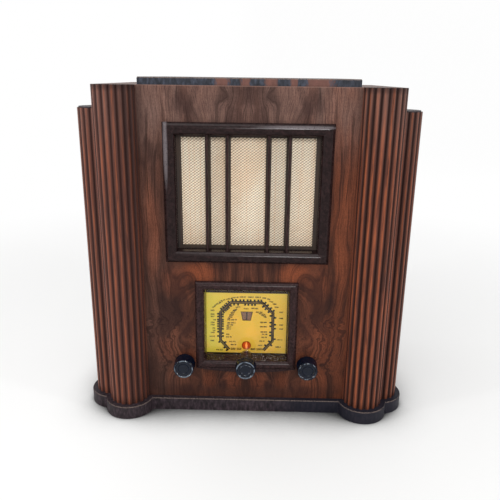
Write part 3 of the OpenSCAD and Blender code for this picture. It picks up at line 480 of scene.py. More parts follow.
# Knots of the matched veneer: distance from the middle, height, radius, stretch in height, rise
BURR_EYES = (
    (26, 404, 10, 0.9, 7),
    (98, 117, 20, 1.1, 22),
    (84, 92, 12, 0.9, -12),
    (66, 172, 34, 0.8, 22),
    (31, 18, 24, 0.6, -26),
    (60, 24, 18, 0.6, 16),
    (102, 50, 18, 1.0, 16),
    (70, 398, 24, 0.4, -16),
)
# Burls, where the figure curls finely, then warm and dark clouds: distance from the middle,
# height, half width, half height, strength
BURLS = (
    (100, 104, 34, 26, 1.0),
    (70, 60, 30, 22, 0.6),
    (112, 56, 22, 20, 0.7),
    (40, 20, 24, 18, 0.6),
)
WARM_CLOUDS = (
    (64, 182, 24, 16, 0.95),
    (122, 236, 12, 60, 0.6),
    (96, 168, 20, 22, 0.5),
    (16, 26, 12, 16, 0.55),
    (48, 26, 10, 14, 0.5),
    (76, 60, 18, 12, 0.4),
    (108, 70, 14, 20, 0.35),
)
DARK_CLOUDS = (
    (76, 398, 14, 20, 0.6),
    (0, 404, 10, 16, 0.45),
    (48, 404, 7, 18, 0.35),
    (104, 118, 22, 12, 0.35),
    (112, 150, 9, 34, 0.35),
    (30, 20, 6, 16, 0.75),
    (62, 14, 8, 10, 0.5),
    (84, 10, 40, 8, 0.5),
    (100, 186, 8, 12, 0.5),
    (128, 396, 8, 30, 0.3),
)
# Side light on the left columns, and the blue cast low on the right of the ebonised wood
REED_LIT = (0.33, 0.22, 0.20)
EBONY_BLUE = (0.085, 0.095, 0.135)
# Worn patches along the block's front as (middle, half width)
BLOCK_PATCHES = ((-32, 10), (-4, 6), (26, 8), (53, 5), (84, 18))
# Width of the band of painted highlight below the top edge of the plinth and the block, and of the
# caps
GLINT_BAND = 1.7
GLINT_CAP_BAND = 0.5


def cloud(shader, x, z, spot):
    """A soft oval mask round one spot."""
    centre, height, half_w, half_h, strength = spot
    across = (x - centre) / half_w
    up = (z - height) / half_h
    return shader.fade(across * across + up * up, 0.0, 1.6) * strength


def burr_veneer(wood):
    """Book-matched burr: its figure climbs, swells round knots and mirrors at the middle."""
    shader = Shader("burr_veneer")
    x, _, height = shader.point
    z = height - DECK
    lean = shader.noise(x * 0.011, z * 0.008, 4.0, 2.0)
    side = abs(x) + (lean - 0.5) * 16
    slow = shader.noise(side * 0.014, z * 0.007, 1.0, 1.0)
    quick = shader.noise(side * 0.05, z * 0.02, 8.0, 2.0)
    lift = z + (quick - 0.5) * 22
    grain = side + (slow - 0.5) * 42 + (quick - 0.5) * 9
    curl = shader.noise(side * 0.085, z * 0.085, 21.0, 2.0, 0.55)
    for spot in BURLS:
        grain = grain + (curl - 0.5) * 44 * cloud(shader, side, z, spot)
    for centre, up, radius, stretch, rise in BURR_EYES:
        across = (side - centre) / radius
        above = (lift - up) * (stretch / radius)
        grain = grain + (1 + across * across + above * above) ** -2.0 * rise
    figure = shader.noise(grain * 0.055, z * 0.005, 2.0, 3.0, 0.55)
    band = shader.noise(grain * 0.16, z * 0.006, 12.0, 2.0, 0.5)
    line = shader.noise(grain * 0.42, z * 0.010, 5.0, 2.0, 0.6)
    fine = shader.noise(grain * 1.2, z * 0.022, 9.0, 2.0, 0.6)
    pore = shader.noise(side * 2.4, z * 0.14, 3.0, 1.0)
    stain = shader.noise(side * 0.05, z * 0.022, 13.0, 3.0, 0.6, 0.8)
    shadow = shader.noise(side * 0.030, z * 0.011, 31.0, 3.0, 0.6)
    fleck = shader.noise(side * 0.9, z * 0.45, 14.0, 3.0, 0.65)

    shader.ground(
        figure,
        (0.34, wood.veneer_mid, 0.62),
        (0.45, wood.veneer_mid, 0.86),
        (0.53, wood.veneer_mid),
        (0.62, wood.veneer_light, 0.92),
        (0.72, wood.veneer_light),
    )
    warm = shader.smooth(x, 50, 125) * shader.smooth(figure, 0.36, 0.56) * 0.75
    for spot in WARM_CLOUDS:
        warm = shader.maths("MAXIMUM", warm, cloud(shader, side, z, spot))
    shader.lay(wood.veneer_glow, warm * 0.8)
    # Painted sheen: lighter, greyer wood toward the top, and a little on the left
    painted_sheen = shader.smooth(z, 300, 400) * 0.78 + shader.fade(x, -130, -70) * 0.22
    shader.lay(wood.veneer_sheen, painted_sheen * (0.35 + quick))
    for spot in DARK_CLOUDS:
        dark = cloud(shader, side, z, spot) * shader.smooth(stain, 0.32, 0.56)
        shader.lay(wood.veneer_dark, dark, 1.1)
    shader.lay(wood.veneer_dark, shader.fade(z, 6, 34) * 0.35)
    shader.lay(wood.veneer_dark, shader.fade(shadow, 0.38, 0.54) * (0.62 - warm * 0.6))
    for mark, low, high, strength in (
        (band, 0.34, 0.46, 0.58),
        (line, 0.35, 0.49, 0.52),
        (fine, 0.36, 0.54, 0.40),
        (pore, 0.32, 0.48, 0.40),
        (fleck, 0.36, 0.54, 0.30),
    ):
        shader.lay(wood.veneer_dark, shader.fade(mark, low, high) * strength, 0.8)
    # Painted shade on the panel beside the columns, deeper on the left
    column_shade = shader.smooth(side, 124, 136) * (0.5 - shader.smooth(x, -60, 60) * 0.25)
    shader.lay(wood.veneer_dark, column_shade, 0.9)
    # Painted highlight along the panel's top edge
    shader.lay(wood.veneer_sheen, shader.smooth(z, TOP_EDGE - 1.6, TOP_EDGE - 0.4) * 0.6)
    bumps = pore * 0.6 + line * 0.4
    return shader.finish(0.34 + fine * 0.14, bumps, relief=0.03, specular=0.09)


def plain_veneer(wood, name, upright=True):
    """Straight-grained walnut for the sides and the top."""
    shader = Shader(name)
    x, y, z = shader.point
    across, along = (y + x, z) if upright else (y, x)
    drift = shader.noise(across * 0.012, along * 0.006, 2.0, 2.0)
    grain = across + (drift - 0.5) * 60
    figure = shader.noise(grain * 0.10, along * 0.006, 1.0, 3.0)
    pore = shader.noise(across * 1.8, along * 0.10, 6.0, 2.0)
    shader.ground(
        figure,
        (0.34, wood.veneer_dark, 1.15),
        (0.48, wood.veneer_mid, 0.95),
        (0.66, wood.veneer_mid, 1.2),
    )
    shader.lay(wood.veneer_dark, shader.fade(pore, 0.34, 0.46) * 0.5, 0.8)
    return shader.finish(0.34 + pore * 0.2, pore, relief=0.04, specular=0.22)


def reeded_wood(wood):
    """Stained reeds: brown crests under a painted highlight, near-black painted shade in the
    grooves and on some reeds, a painted sheen near the top, grain and dark wear along the run.
    """
    shader = Shader("reeded_wood")
    x, y, z = shader.point
    side = abs(x)
    ahead = y - FACE / MM
    front = distance(side - COLUMN_X, ahead)
    flank = distance(side - SIDE_X, y - (FACE / MM + COLUMN_R))
    out = shader.maths("MINIMUM", front, flank + 100 * shader.smooth(ahead, 0.2, -0.2))
    groove = shader.fade(out, COLUMN_R - 1.25, COLUMN_R + 0.10)
    # Painted shade on the left column's side toward the panel and on the outer reeds on the right
    painted_shade = shader.smooth(x, -166, -138) * shader.fade(x, -100, -60)
    painted_shade = painted_shade + shader.smooth(x, 150, 195) * 0.6
    drift = shader.grain((0.05, 0.05, 0.006), 2.0)
    figure = shader.noise(x * 0.16, y * 0.16, z * 0.008 + drift, 3.0)
    streak = shader.grain((0.9, 0.9, 0.022), 3.0, 0.6)
    dust = shader.grain((2.0, 2.0, 0.9), 2.0)
    shader.ground(
        figure,
        (0.30, wood.reed, 0.66),
        (0.45, wood.reed, 0.88),
        (0.60, wood.reed, 1.08),
        (0.76, wood.reed_warm),
    )
    shader.lay(wood.reed_deep, shader.fade(streak, 0.34, 0.52) * 0.45, 1.6)
    # Painted highlight along the reeds' crests, broken by the streaks
    highlight = shader.smooth(out, COLUMN_R - 0.35, COLUMN_R) * shader.smooth(streak, 0.40, 0.58)
    shader.lay(wood.reed_warm, highlight * 0.75, 1.1)
    # Painted sheen near the top of the reeds
    high = shader.smooth(z, 330, 430) * shader.smooth(figure, 0.3, 0.6)
    shader.lay(wood.veneer_sheen, high * 0.5, 0.9)
    # Painted shade in the grooves between the reeds
    shader.lay(wood.reed_deep, groove * 0.9)
    shader.lay(REED_LIT, shader.smooth(x, -60, -120) * 0.25)
    # Painted shade laid on those reeds, deeper toward the top
    shader.lay(wood.reed_deep, painted_shade * (0.42 + shader.smooth(z, 150, 420) * 0.25))
    shader.lay(wood.reed_deep, shader.fade(z, DECK, DECK + 14) * 0.35)
    tip = shader.smooth(z, DECK + TOP_EDGE - 9, DECK + TOP_EDGE - 2)
    shader.lay(wood.reed_deep, tip * 0.6)
    roughness = 0.26 + streak * 0.2 + groove * 0.35
    return shader.finish(roughness, streak + dust * 0.5, relief=0.05, specular=0.14)


def dark_wood(wood, name, colour, edge, patch=None):
    """Ebonised wood, with a painted highlight above the height edge, and patches of wear on its
    front if asked.
    """
    shader = Shader(name)
    x, _, z = shader.point
    _, ahead, up = shader.facing()
    streak = shader.grain((0.30, 0.30, 0.12), 3.0, 0.6)
    fine = shader.grain((1.4, 1.4, 0.35), 2.0)
    shader.ground(streak, (0.32, colour, 0.66), (0.50, colour), (0.68, colour, 1.45))
    blue = shader.smooth(x, 10, 90) * shader.fade(z, 60, 120)
    shader.lay(EBONY_BLUE, blue * 0.75)
    if patch:
        front = shader.smooth(ahead, -0.3, -0.8)
        for centre, half in BLOCK_PATCHES:
            near = shader.fade(abs(x - centre) / half + (streak - 0.5) * 1.6, 0.6, 1.1)
            shader.lay(patch, near * front * (0.45 + streak * 0.7))
    # Painted highlight just under the top edge, on the faces that do not look up, broken by the
    # fine grain
    highlight = shader.smooth(z, edge, edge + 1.0) * shader.fade(up, 0.93, 0.99)
    shader.lay(wood.ebony_glint, highlight * shader.smooth(fine, 0.34, 0.56) * 0.85)
    return shader.finish(0.38 + fine * 0.2, fine, relief=0.04, specular=0.14)


def raw_wood(name, light, dark, pitch=1.0):
    """Unfinished wood with its grain upright."""
    shader = Shader(name)
    x, y, z = shader.point
    drift = shader.grain((0.02, 0.02, 0.006), 2.0)
    grain = shader.noise(x * 0.5 * pitch + drift * 3, y * 0.5 * pitch, z * 0.02, 3.0)
    shader.ground(grain, (0.35, dark), (0.62, light))
    return shader.finish(0.62 + grain * 0.2, grain, relief=0.08)


def fibre_board():
    """Pressed brown board of the back cover."""
    shader = Shader("fibre_board")
    fleck = shader.grain(0.9, 4.0, 0.7)
    shader.ground(fleck, (0.30, (0.23, 0.16, 0.11)), (0.70, (0.50, 0.37, 0.26)))
    shader.lay((0.26, 0.18, 0.12), shader.grain(0.02, 2.0) * 0.6)
    return shader.finish(0.72, fleck, relief=0.06)


class RADIO_OT_cabinet(bpy.types.Operator):
    """Veneer the panels, stain the reeds and blacken the plinth"""

    bl_idname = "radio.cabinet"
    bl_label = "Cabinet woods"

    def execute(self, context):
        wood = context.scene.radio_wood
        coat(burr_veneer(wood), "front_panel")
        coat(plain_veneer(wood, "side_veneer"), "side_panel_left", "side_panel_right")
        coat(plain_veneer(wood, "top_veneer", False), "top_panel")
        reeds = reeded_wood(wood)
        coat(reeds, "column_front_left", "column_front_right")
        coat(reeds, "column_side_left", "column_side_right")
        rim = DECK - GLINT_BAND
        coat(dark_wood(wood, "plinth_black", wood.ebony, rim), "plinth")
        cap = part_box("step_caps")[1].z / MM - GLINT_CAP_BAND
        coat(dark_wood(wood, "cap_black", wood.ebony, cap), "step_caps")
        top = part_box("top_block")[1].z / MM - GLINT_BAND
        block = dark_wood(wood, "block_black", wood.block_edge, top, wood.block_patch)
        coat(block, "top_block")
        coat(raw_wood("pine", (0.66, 0.51, 0.34), (0.50, 0.36, 0.22)), "battens")
        coat(raw_wood("plywood", (0.60, 0.45, 0.28), (0.42, 0.30, 0.18), 1.6), "speaker_baffle")
        coat(raw_wood("spacer_brown", (0.20, 0.135, 0.09), (0.12, 0.08, 0.06)), "grille_spacer")
        coat(fibre_board(), "back_cover")
        return {"FINISHED"}


# Mouldings and knobs

# Colour of the painted highlights on the grille frame
FRAME_GLINT = (0.44, 0.41, 0.42)
# Colour of the painted highlights on the knobs' rims
KNOB_GLINT = (0.42, 0.46, 0.50)
# A knob's side as (distance inside its foot, depth): from its back, then from its face
KNOB_FOOT = ((0.5, 0), (0, -0.5), (0, -3.2), (0.2, -3.8), (0.45, -4.5), (0.6, -5.2))
KNOB_RIM = (
    (0.6, 2.0), (0.75, 1.2), (1.15, 0.5), (1.7, 0.08), (2.2, 0), (2.7, 0.2), (3.1, 0.7), (3.5, 1.1),
)
# The ring on its sunk face as (radius, depth behind its rim)
SMALL_RING = ((7.6, 1.2), (7.2, 0.6), (6.7, 0.6), (6.3, 1.2), (3.0, 1.25))
LARGE_RING = ((8.4, 1.2), (8.0, 0.7), (7.4, 0.4), (6.8, 0.7), (6.4, 1.1), (3.0, 1.2))
KNOB_CORNERS = 96


def mottled(mouldings, name, size, gloss, tone=1.0, wear_and_glints=()):
    """Moulded phenolic: soft dark and light mottling under a polish, with painted highlights in the
    given spots.
    """
    shader = Shader(name)
    x, _, z = shader.point
    blotch = shader.grain(0.32 / size, 4.0, 0.62, 0.6)
    speck = shader.cells(0.9 / size)
    haze_and_shade = shader.grain(0.06, 2.0)
    shader.ground(
        blotch,
        (0.34, mouldings.frame_dark, tone),
        (0.50, mouldings.frame_light, 0.72 * tone),
        (0.66, mouldings.frame_light, tone),
    )
    shader.lay(mouldings.frame_dark, shader.fade(speck, 0.10, 0.42) * 0.5, 0.8)
    # Painted highlights, one soft oval for each given spot
    for spot in wear_and_glints:
        painted_glint = cloud(shader, x, z, spot) * shader.smooth(speck + blotch, 0.5, 0.9)
        shader.lay(FRAME_GLINT, painted_glint)
    return shader.finish(gloss + haze_and_shade * 0.12, blotch, relief=0.015, specular=0.12)


class RADIO_OT_frames(bpy.types.Operator):
    """Finish the two moulded frames and the upright bars"""

    bl_idname = "radio.frames"
    bl_label = "Moulded frames"

    def execute(self, context):
        mouldings = context.scene.radio_mouldings
        (left, _, foot), (_, _, top) = (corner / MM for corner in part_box("grille_frame"))
        # Painted highlights on the top rail, the bottom rail's inner edge and the left rail
        wear_and_glints = [
            (64, top - 4.5, 52, 2.0, 0.6),
            (10, foot + 12.5, 90, 2.0, 0.12),
            (left + 4, top - 30, 3, 46, 0.7),
        ]
        coat(mottled(mouldings, "grille_moulding", 1.3, 0.12, 0.78, wear_and_glints), "grille_frame")
        coat(mottled(mouldings, "dial_moulding", 1.0, 0.20), "dial_frame")
        coat(mottled(mouldings, "bar_moulding", 1.3, 0.28), "grille_bars")
        return {"FINISHED"}


def knob_black(mouldings):
    """Near-black plastic, with painted highlights in places along its raised rings."""
    shader = Shader("knob_black")
    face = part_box("tuning_knob")[0].y / MM
    x, y, z = shader.point
    dust = shader.grain(0.5, 4.0, 0.7)
    scratch = shader.grain((2.2, 2.2, 0.5), 2.0)
    patch = shader.noise(x * 0.11, 3.0, z * 0.11, 2.0)
    shader.ground(dust, (0.35, mouldings.knob, 0.75), (0.70, mouldings.knob, 1.35))
    # Painted highlights in patches on the rims at the front
    painted_glint = shader.smooth(y, face + 0.62, face + 0.1) * shader.smooth(patch, 0.44, 0.56)
    shader.lay(KNOB_GLINT, painted_glint * (0.35 + dust * 0.8))
    return shader.finish(0.05 + dust * 0.09, scratch, relief=0.006, specular=0.26)


class RADIO_OT_knobs(bpy.types.Operator):
    """Turn the three control knobs with their flared feet and ringed faces"""

    bl_idname = "radio.knobs"
    bl_label = "Control knobs"

    def execute(self, context):
        black = knob_black(context.scene.radio_mouldings)
        for node, body, ring in (
            ("volume_knob", "volume", SMALL_RING),
            ("tuning_knob", "tuning", LARGE_RING),
            ("wave_knob", "wave_change", SMALL_RING),
        ):
            low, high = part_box(node)
            centre = middle(node)
            back, face = (high.y - FACE) / MM, (low.y - FACE) / MM
            foot = (high.x - centre.x) / MM
            steps = [(foot - inset, back + depth) for inset, depth in KNOB_FOOT]
            steps += [(foot - inset, face + depth) for inset, depth in KNOB_RIM]
            steps += [(radius, face + depth) for radius, depth in ring]
            piece = turned(centre.x / MM, over_plinth(centre.z), steps, KNOB_CORNERS)
            dress(piece, body + "_knob_turned", black, body, "black_plastic", node)
        return {"FINISHED"}


# Grille cloth

# Squares of the sheet's mesh, its lift off the board, its sag and its thickness in millimetres
CLOTH_SQUARES = (104, 88)
CLOTH_LIFT = 0.12
CLOTH_SAG = 0.06
CLOTH_THICKNESS = 0.35


def woven_cloth(cloth):
    """Cream cloth: light grains in slanting rows with dark gaps between them."""
    shader = Shader("grille_weave")
    x, _, z = shader.point
    wander = shader.noise(x * 0.05, z * 0.05, 1.0, 2.0)
    u = x / (cloth.across / MM) + (wander - 0.5) * 0.5
    v = z / (cloth.up / MM) + (wander - 0.5) * 0.4
    rising = abs(shader.maths("SINE", (u - v) * (math.pi / 2)))
    falling = abs(shader.maths("SINE", (u + v) * (math.pi / 2)))
    grain = rising ** 1.1 * falling ** 0.6
    thread = shader.noise(x * 1.0, z * 1.0, 4.0, 3.0, 0.7)
    aged = shader.noise(x * 0.016, z * 0.010, 6.0, 3.0, 0.6)
    stripe = shader.noise(x * 0.30, z * 0.004, 2.0, 2.0)
    shader.colour = paint(cloth.light)
    shader.lay(cloth.warm, shader.smooth(aged, 0.38, 0.72) * 0.6)
    shader.lay(cloth.warm, shader.smooth(stripe, 0.48, 0.68) * 0.5)
    cover = shader.smooth(grain + (thread - 0.5) * 0.3, 0.02, 0.50)
    shader.colour = shader.mix(paint(cloth.dark), shader.colour, cover)
    return shader.finish(0.9, grain, relief=0.25, specular=0.2, Sheen_Weight=0.1)


class RADIO_OT_cloth(bpy.types.Operator):
    """Stretch the woven cloth over the loudspeaker board"""

    bl_idname = "radio.cloth"
    bl_label = "Grille cloth"

    def execute(self, context):
        low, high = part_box("grille_cloth")
        width, length = high.x - low.x, high.z - low.z
        centre = middle("grille_cloth")
        deselect()
        bpy.ops.mesh.primitive_grid_add(
            x_subdivisions=CLOTH_SQUARES[0],
            y_subdivisions=CLOTH_SQUARES[1],
            size=1.0,
            location=(centre.x, low.y + CLOTH_LIFT * MM, centre.z),
            rotation=(math.pi / 2, 0, 0),
        )
        piece = bpy.context.object
        piece.scale = (width, length, 1)
        settle(piece, 0)
        for point in piece.data.vertices:
            pull = math.sin(point.co.x * 55) * math.sin(point.co.z * 38 + 1)
            point.co.y += CLOTH_SAG * MM * (1 + pull)
        thick = piece.modifiers.new("Thickness", "SOLIDIFY")
        thick.thickness = CLOTH_THICKNESS * MM
        thick.offset = -1.0
        pick(piece)
        bpy.ops.object.modifier_apply(modifier=thick.name)
        settle(piece, 60)
        weave = woven_cloth(context.scene.radio_cloth)
        dress(piece, "grille_cloth_woven", weave, "cabinet", "cloth", "grille_cloth")
        return {"FINISHED"}


# Dial

# The pointer's track: height of its middle over the plinth, radius, half the slot's width
TRACK_HEIGHT = over_plinth(middle("drive_disc").z)
TRACK_R = 36.0
SLOT = 0.9
# A tooth's outline as (along the track, away from it)
TOOTH = ((-1.3, 0), (-1.3, 2.0), (-0.9, 2.6), (0.9, 2.6), (1.3, 2.0), (1.3, 0))
# Teeth on each straight run of the track, as distances from its start
OUTER_TEETH = (
    (1.5, 6.5, 17.5),
    (6, 12.5, 17, 21, 24.5, 28, 31, 35.5, 39.5),
    (4.5, 8, 11.5, 15, 19),
    (1.5, 6, 12, 16.5, 22, 26, 31.5, 36.5, 40.5),
    (3, 8, 14, 19.5),
    (6.5, 17, 23, 39),
    (6,),
)
INNER_TEETH = (
    (12,),
    (6, 10.5, 17, 21, 24.5, 28, 31, 35.5, 39),
    (3.5, 7, 10, 13, 17),
    (3.5, 9, 18.5, 23, 28, 32),
    (5, 10, 16),
    (4, 14, 19.5, 28.5, 33.5),
    (3.5, 11.5),
)
NO_TEETH = ((),) * 7
# Small figures as (x, height, turn, number of digits): outside the track, then inside it
OUTER_FIGURES = (
    (-47, 121, 0, 5), (-47, 115.5, 0, 5), (-47, 112, 0, 5), (-44.5, 107, 0, 3),
    (-47, 103, 0, 5), (-47, 99.5, 0, 5), (-45.5, 94.5, 0, 3), (-45, 91, 0, 3),
    (-47, 88, 0, 5), (-47.5, 82, 0, 6), (-47.5, 75.5, 0, 5), (40.5, 127.5, 0, 5),
    (47, 120, 0, 5), (47, 111, 0, 4), (47.5, 101, 0, 5), (47.5, 95, 0, 5),
    (46, 78.5, 0, 6), (44, 67.5, 0, 6), (37.5, 132, -6, 5), (33, 135.5, -12, 4),
    (29.5, 139, -14, 3), (-45, 126.5, 38, 5), (-41.5, 130, 36, 5), (-36.5, 132.5, 32, 6),
    (-34, 135.5, 22, 7), (-24, 138.5, 12, 7), (-16, 140.5, 5, 7), (-5.5, 141.5, 2, 7),
    (5, 141.5, 0, 6), (15, 141.5, -2, 6), (23.5, 140.5, -5, 5), (-37.5, 61.5, 0, 7),
)
INNER_FIGURES = (
    (-12, 126.5, 10, 5), (-1, 124.5, 0, 5), (11, 125, -2, 7), (-16, 122.5, 26, 5),
    (-18, 120, 34, 7), (-20, 116.5, 36, 8), (-21.5, 113, 36, 8), (-23, 110, 34, 6),
    (-20, 107.5, 3, 10), (-21, 103, 2, 9), (-23, 99.5, 5, 8), (-24.5, 96.5, 0, 5),
    (-24.5, 93.5, 0, 5), (-26, 85.5, 0, 4), (-24.5, 81.5, 0, 6), (-19.5, 74.5, 0, 8),
    (-18, 70, 0, 6), (17, 119.5, -3, 8), (21, 117, -10, 7), (23, 114.5, -13, 5),
    (25.5, 112.5, -15, 4), (23, 104.5, 0, 7), (23, 98, 0, 7), (24, 90, 0, 8),
    (25, 86.5, 0, 6), (24.5, 82, 0, 6), (21.5, 76, 0, 6), (19, 69.5, 0, 5),
)
# The two range figures under the track, and their size against the small ones
RANGE_FIGURES = (("200 550", -14.4), ("800 2000", 14.4))
RANGE_HEIGHT = 63.4
RANGE_SIZE = 1.6
# The shadow meter's window: half widths of its top and its foot, half its height
WINDOW = (7.6, 4.9, 6.0)
WINDOW_RIM = (8.4, 5.5, 6.7)
SCREEN_GROWTH = (1.12, 1.12, 1.1)
SCREEN_DEPTH = 1.5
# Opening of the card round the plate: left, right, foot, top. Its top sits low, so that along the
# top the card is also a painted shadow under the frame's top rail
CARD_OPENING = (-55.4, 55.0, 57.8, 147.4)
CARD_THICKNESS = 0.4
CARD_GAP = 1
# Type against the figures' height, its spacing, weight and thickness, and its lift off the plate
TYPE_SIZE, TYPE_SPACING, TYPE_WEIGHT = 1.35, 1.05, 0.15
TYPE_DEPTH, TYPE_LIFT = 0.03, 0.035
# The plate where it is warm, flecked and near its top, and the figures' thinner ink
PLATE_WARM = (0.96, 0.72, 0.28)
PLATE_FLECK = (0.86, 0.70, 0.20)
PLATE_TOP = (0.98, 0.90, 0.42)
FIGURE_INK = (0.06, 0.045, 0.03)
FIGURE_INK_WORN = (0.15, 0.11, 0.05)


def track_corners():
    """Corners of the pointer's track as (x, height), from its left foot round to its right."""
    r = TRACK_R
    cut = 0.42 * r
    half = ((0.665 * r, -0.98 * r), (r, -0.58 * r), (r, r - cut), (r - cut, r))
    left = [(-x, z) for x, z in half]
    return [(x, z + TRACK_HEIGHT) for x, z in left + list(reversed(half))]


def track_side(offset, teeth):
    """The track's side at this offset, with a small tooth at each distance along its runs."""
    corners = [Vector(c) for c in track_corners()]
    runs = [(b - a).normalized() for a, b in zip(corners, corners[1:])]
    sides = [Vector((-run.y, run.x)) for run in runs]
    path = []
    for i, corner in enumerate(corners):
        before, after = sides[max(i - 1, 0)], sides[min(i, len(sides) - 1)]
        path.append(tuple(corner + offset * (before + after) / (1 + before.dot(after))))
        if i == len(runs):
            break
        out = sides[i] * (1 if offset > 0 else -1)
        for along in teeth[i]:
            foot = corner + sides[i] * offset + runs[i] * along
            for step, rise in TOOTH:
                path.append(tuple(foot + runs[i] * step + out * rise))
    return path


def dial_yellow(dial):
    """Yellow plate, greener on its left and paler at its top."""
    shader = Shader("dial_yellow")
    x, _, height = shader.point
    z = height - DECK
    rim = shader.smooth(abs(x / 58 - 0.25), 0.60, 1.15)
    mottle = shader.noise(x * 0.05, z * 0.05, 2.0, 3.0)
    fleck = shader.noise(x * 0.8, z * 0.8, 7.0, 3.0)
    shader.colour = paint(dial.plate)
    shader.lay(dial.plate_edge, rim * 0.9)
    shader.lay(PLATE_WARM, shader.smooth(mottle, 0.45, 0.7) * 0.35)
    shader.lay(PLATE_FLECK, shader.smooth(fleck, 0.5, 0.8) * 0.25)
    shader.lay(PLATE_TOP, shader.smooth(z, 119, 154) * 0.35)
    return shader.finish(0.42 + fleck * 0.1, fleck, relief=0.01, specular=0.15)


def ink_black(dial):
    """Ink of the track and the window's outline."""
    shader = Shader("dial_ink")
    x, _, z = shader.point
    wear_and_glints = shader.noise(x * 0.7, z * 0.7, 2.0, 3.0, 0.7)
    shader.ground(wear_and_glints, (0.40, dial.ink), (0.85, dial.ink, 1.4))
    return shader.finish(0.45 + wear_and_glints * 0.1, specular=0.2)


def ink_brown():
    """Thinner ink of the figures."""
    shader = Shader("figure_ink")
    x, _, z = shader.point
    wear_and_glints = shader.noise(x * 0.5, z * 0.5, 6.0, 3.0, 0.7)
    shader.ground(wear_and_glints, (0.35, FIGURE_INK), (0.8, FIGURE_INK_WORN))
    return shader.finish(0.5, specular=0.2)


def lens_red(dial):
    """Red window with a painted glow along an upright streak, as though lit from behind, and a
    darker rim; the glow also shines a little.
    """
    shader = Shader("lens_red")
    x, _, height = shader.point
    z = height - DECK
    up = z - over_plinth(middle("indicator_lens").z)
    glow = shader.fade(abs(x) / 2.2 + abs(up) / 9.0, 0.35, 1.15)
    shader.colour = paint(dial.lens)
    shader.lay(dial.lens_glow, glow)
    shader.lay(dial.lens, shader.smooth(distance(x, up), 4.4, 6.2) * 0.8, 0.62)
    light = shader.mix((0.0, 0.0, 0.0, 1.0), paint(dial.lens_glow), glow)
    shader.feed(shader.surface.inputs["Emission Color"], light)
    return shader.finish(0.22, Emission_Strength=0.35, Coat_Weight=0.4)


def screen_brown(dial):
    """Shadow screen: brown, with a painted shadow of the vane down its middle and fine upright
    lines.
    """
    shader = Shader("screen_brown")
    vane_shadow = shader.fade(abs(shader.point[0]), 0.5, 1.6)
    fine = shader.grain((1.5, 1, 0.2), 2.0)
    shader.colour = paint(dial.screen)
    shader.lay(dial.screen, vane_shadow, 0.35)
    shader.lay(dial.screen, shader.smooth(fine, 0.5, 0.62) * 0.7, 0.55)
    return shader.finish(0.4)


def surround_brown(dial):
    """Dark card that frames the plate, with a soft fibre."""
    shader = Shader("surround_brown")
    fibre = shader.grain((0.5, 1, 0.5), 4.0, 0.7)
    shader.ground(fibre, (0.35, dial.surround, 0.8), (0.7, dial.surround, 1.25))
    return shader.finish(0.6, fibre, relief=0.02, specular=0.2)


def keystone(half_top, half_foot, half_height):
    """Outline about the middle of the shadow meter, wider at its top."""
    z = over_plinth(middle("tuning_meter").z)
    foot = [(side * half_foot, z - half_height) for side in (-1, 1)]
    return foot + [(side * half_top, z + half_height) for side in (1, -1)]


def oblong(left, right, foot, top):
    return [(left, foot), (right, foot), (right, top), (left, top)]


def print_track(dial, ink, face):
    """Toothed black band with the pointer's slot in its middle."""
    band = dial.band / MM
    edge = track_side(band, OUTER_TEETH) + track_side(-band, INNER_TEETH)[::-1]
    bore = track_side(SLOT, NO_TEETH) + track_side(-SLOT, NO_TEETH)[::-1]
    piece = printed((edge, bore), face)
    dress(piece, "dial_track_band", ink, "cabinet", "black_paint")


def print_window(dial, ink, face):
    """Outline of the shadow meter's window, and the screen behind it."""
    piece = printed((keystone(*WINDOW_RIM), keystone(*WINDOW)), face)
    dress(piece, "window_outline", ink, "cabinet", "black_paint")
    screen = keystone(*(size * grow for size, grow in zip(WINDOW, SCREEN_GROWTH)))
    piece = printed([screen], face + SCREEN_DEPTH, CARD_THICKNESS)
    dress(piece, "shadow_screen", screen_brown(dial), "cabinet", "paxolin")


def cut_card(dial, face):
    """Card that hides the edges of the plate, and along its top also a painted shadow under the
    frame's rail.
    """
    low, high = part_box("dial_scale")
    left, right = low.x / MM + CARD_GAP, high.x / MM - CARD_GAP
    card = oblong(left, right, over_plinth(low.z), over_plinth(high.z))
    piece = printed((card, oblong(*CARD_OPENING)), face, CARD_THICKNESS)
    dress(piece, "dial_surround", surround_brown(dial), "cabinet", "black_paint")


def figure(text, x, z, turn, height, face):
    """One group of figures, laid on the plate and centred on its place."""
    deselect()
    bpy.ops.object.text_add(location=(0, 0, 0))
    piece = bpy.context.object
    piece.data.body = text
    piece.data.size = height * TYPE_SIZE
    piece.data.space_character = TYPE_SPACING
    piece.data.align_x = "CENTER"
    piece.data.align_y = "CENTER"
    piece.data.resolution_u = 2
    piece.data.extrude = TYPE_DEPTH * MM
    piece.data.offset = TYPE_WEIGHT * MM
    return stand_up(piece, inside(x, face - TYPE_LIFT, z), turn)


def print_figures(dial, face):
    """Small figures, whose made-up numbers run on from one to the next, and the range figures."""
    height = dial.figure_height
    small = []
    for i, (x, z, turn, digits) in enumerate(OUTER_FIGURES + INNER_FIGURES):
        text = "%d %d %d" % (1875 - 29 * i, 160 + 13 * i, 20 + i)
        small.append(figure(text[:digits].strip(), x, z, turn, height, face))
    large = [
        figure(text, x, RANGE_HEIGHT, 0, RANGE_SIZE * height, face) for text, x in RANGE_FIGURES
    ]
    brown = ink_brown()
    for name, parts in (("dial_figures", small), ("dial_range_figures", large)):
        pick(parts[0])
        for part in parts:
            part.select_set(True)
        bpy.ops.object.join()
        dress(parts[0], name, brown, "cabinet", "black_paint")


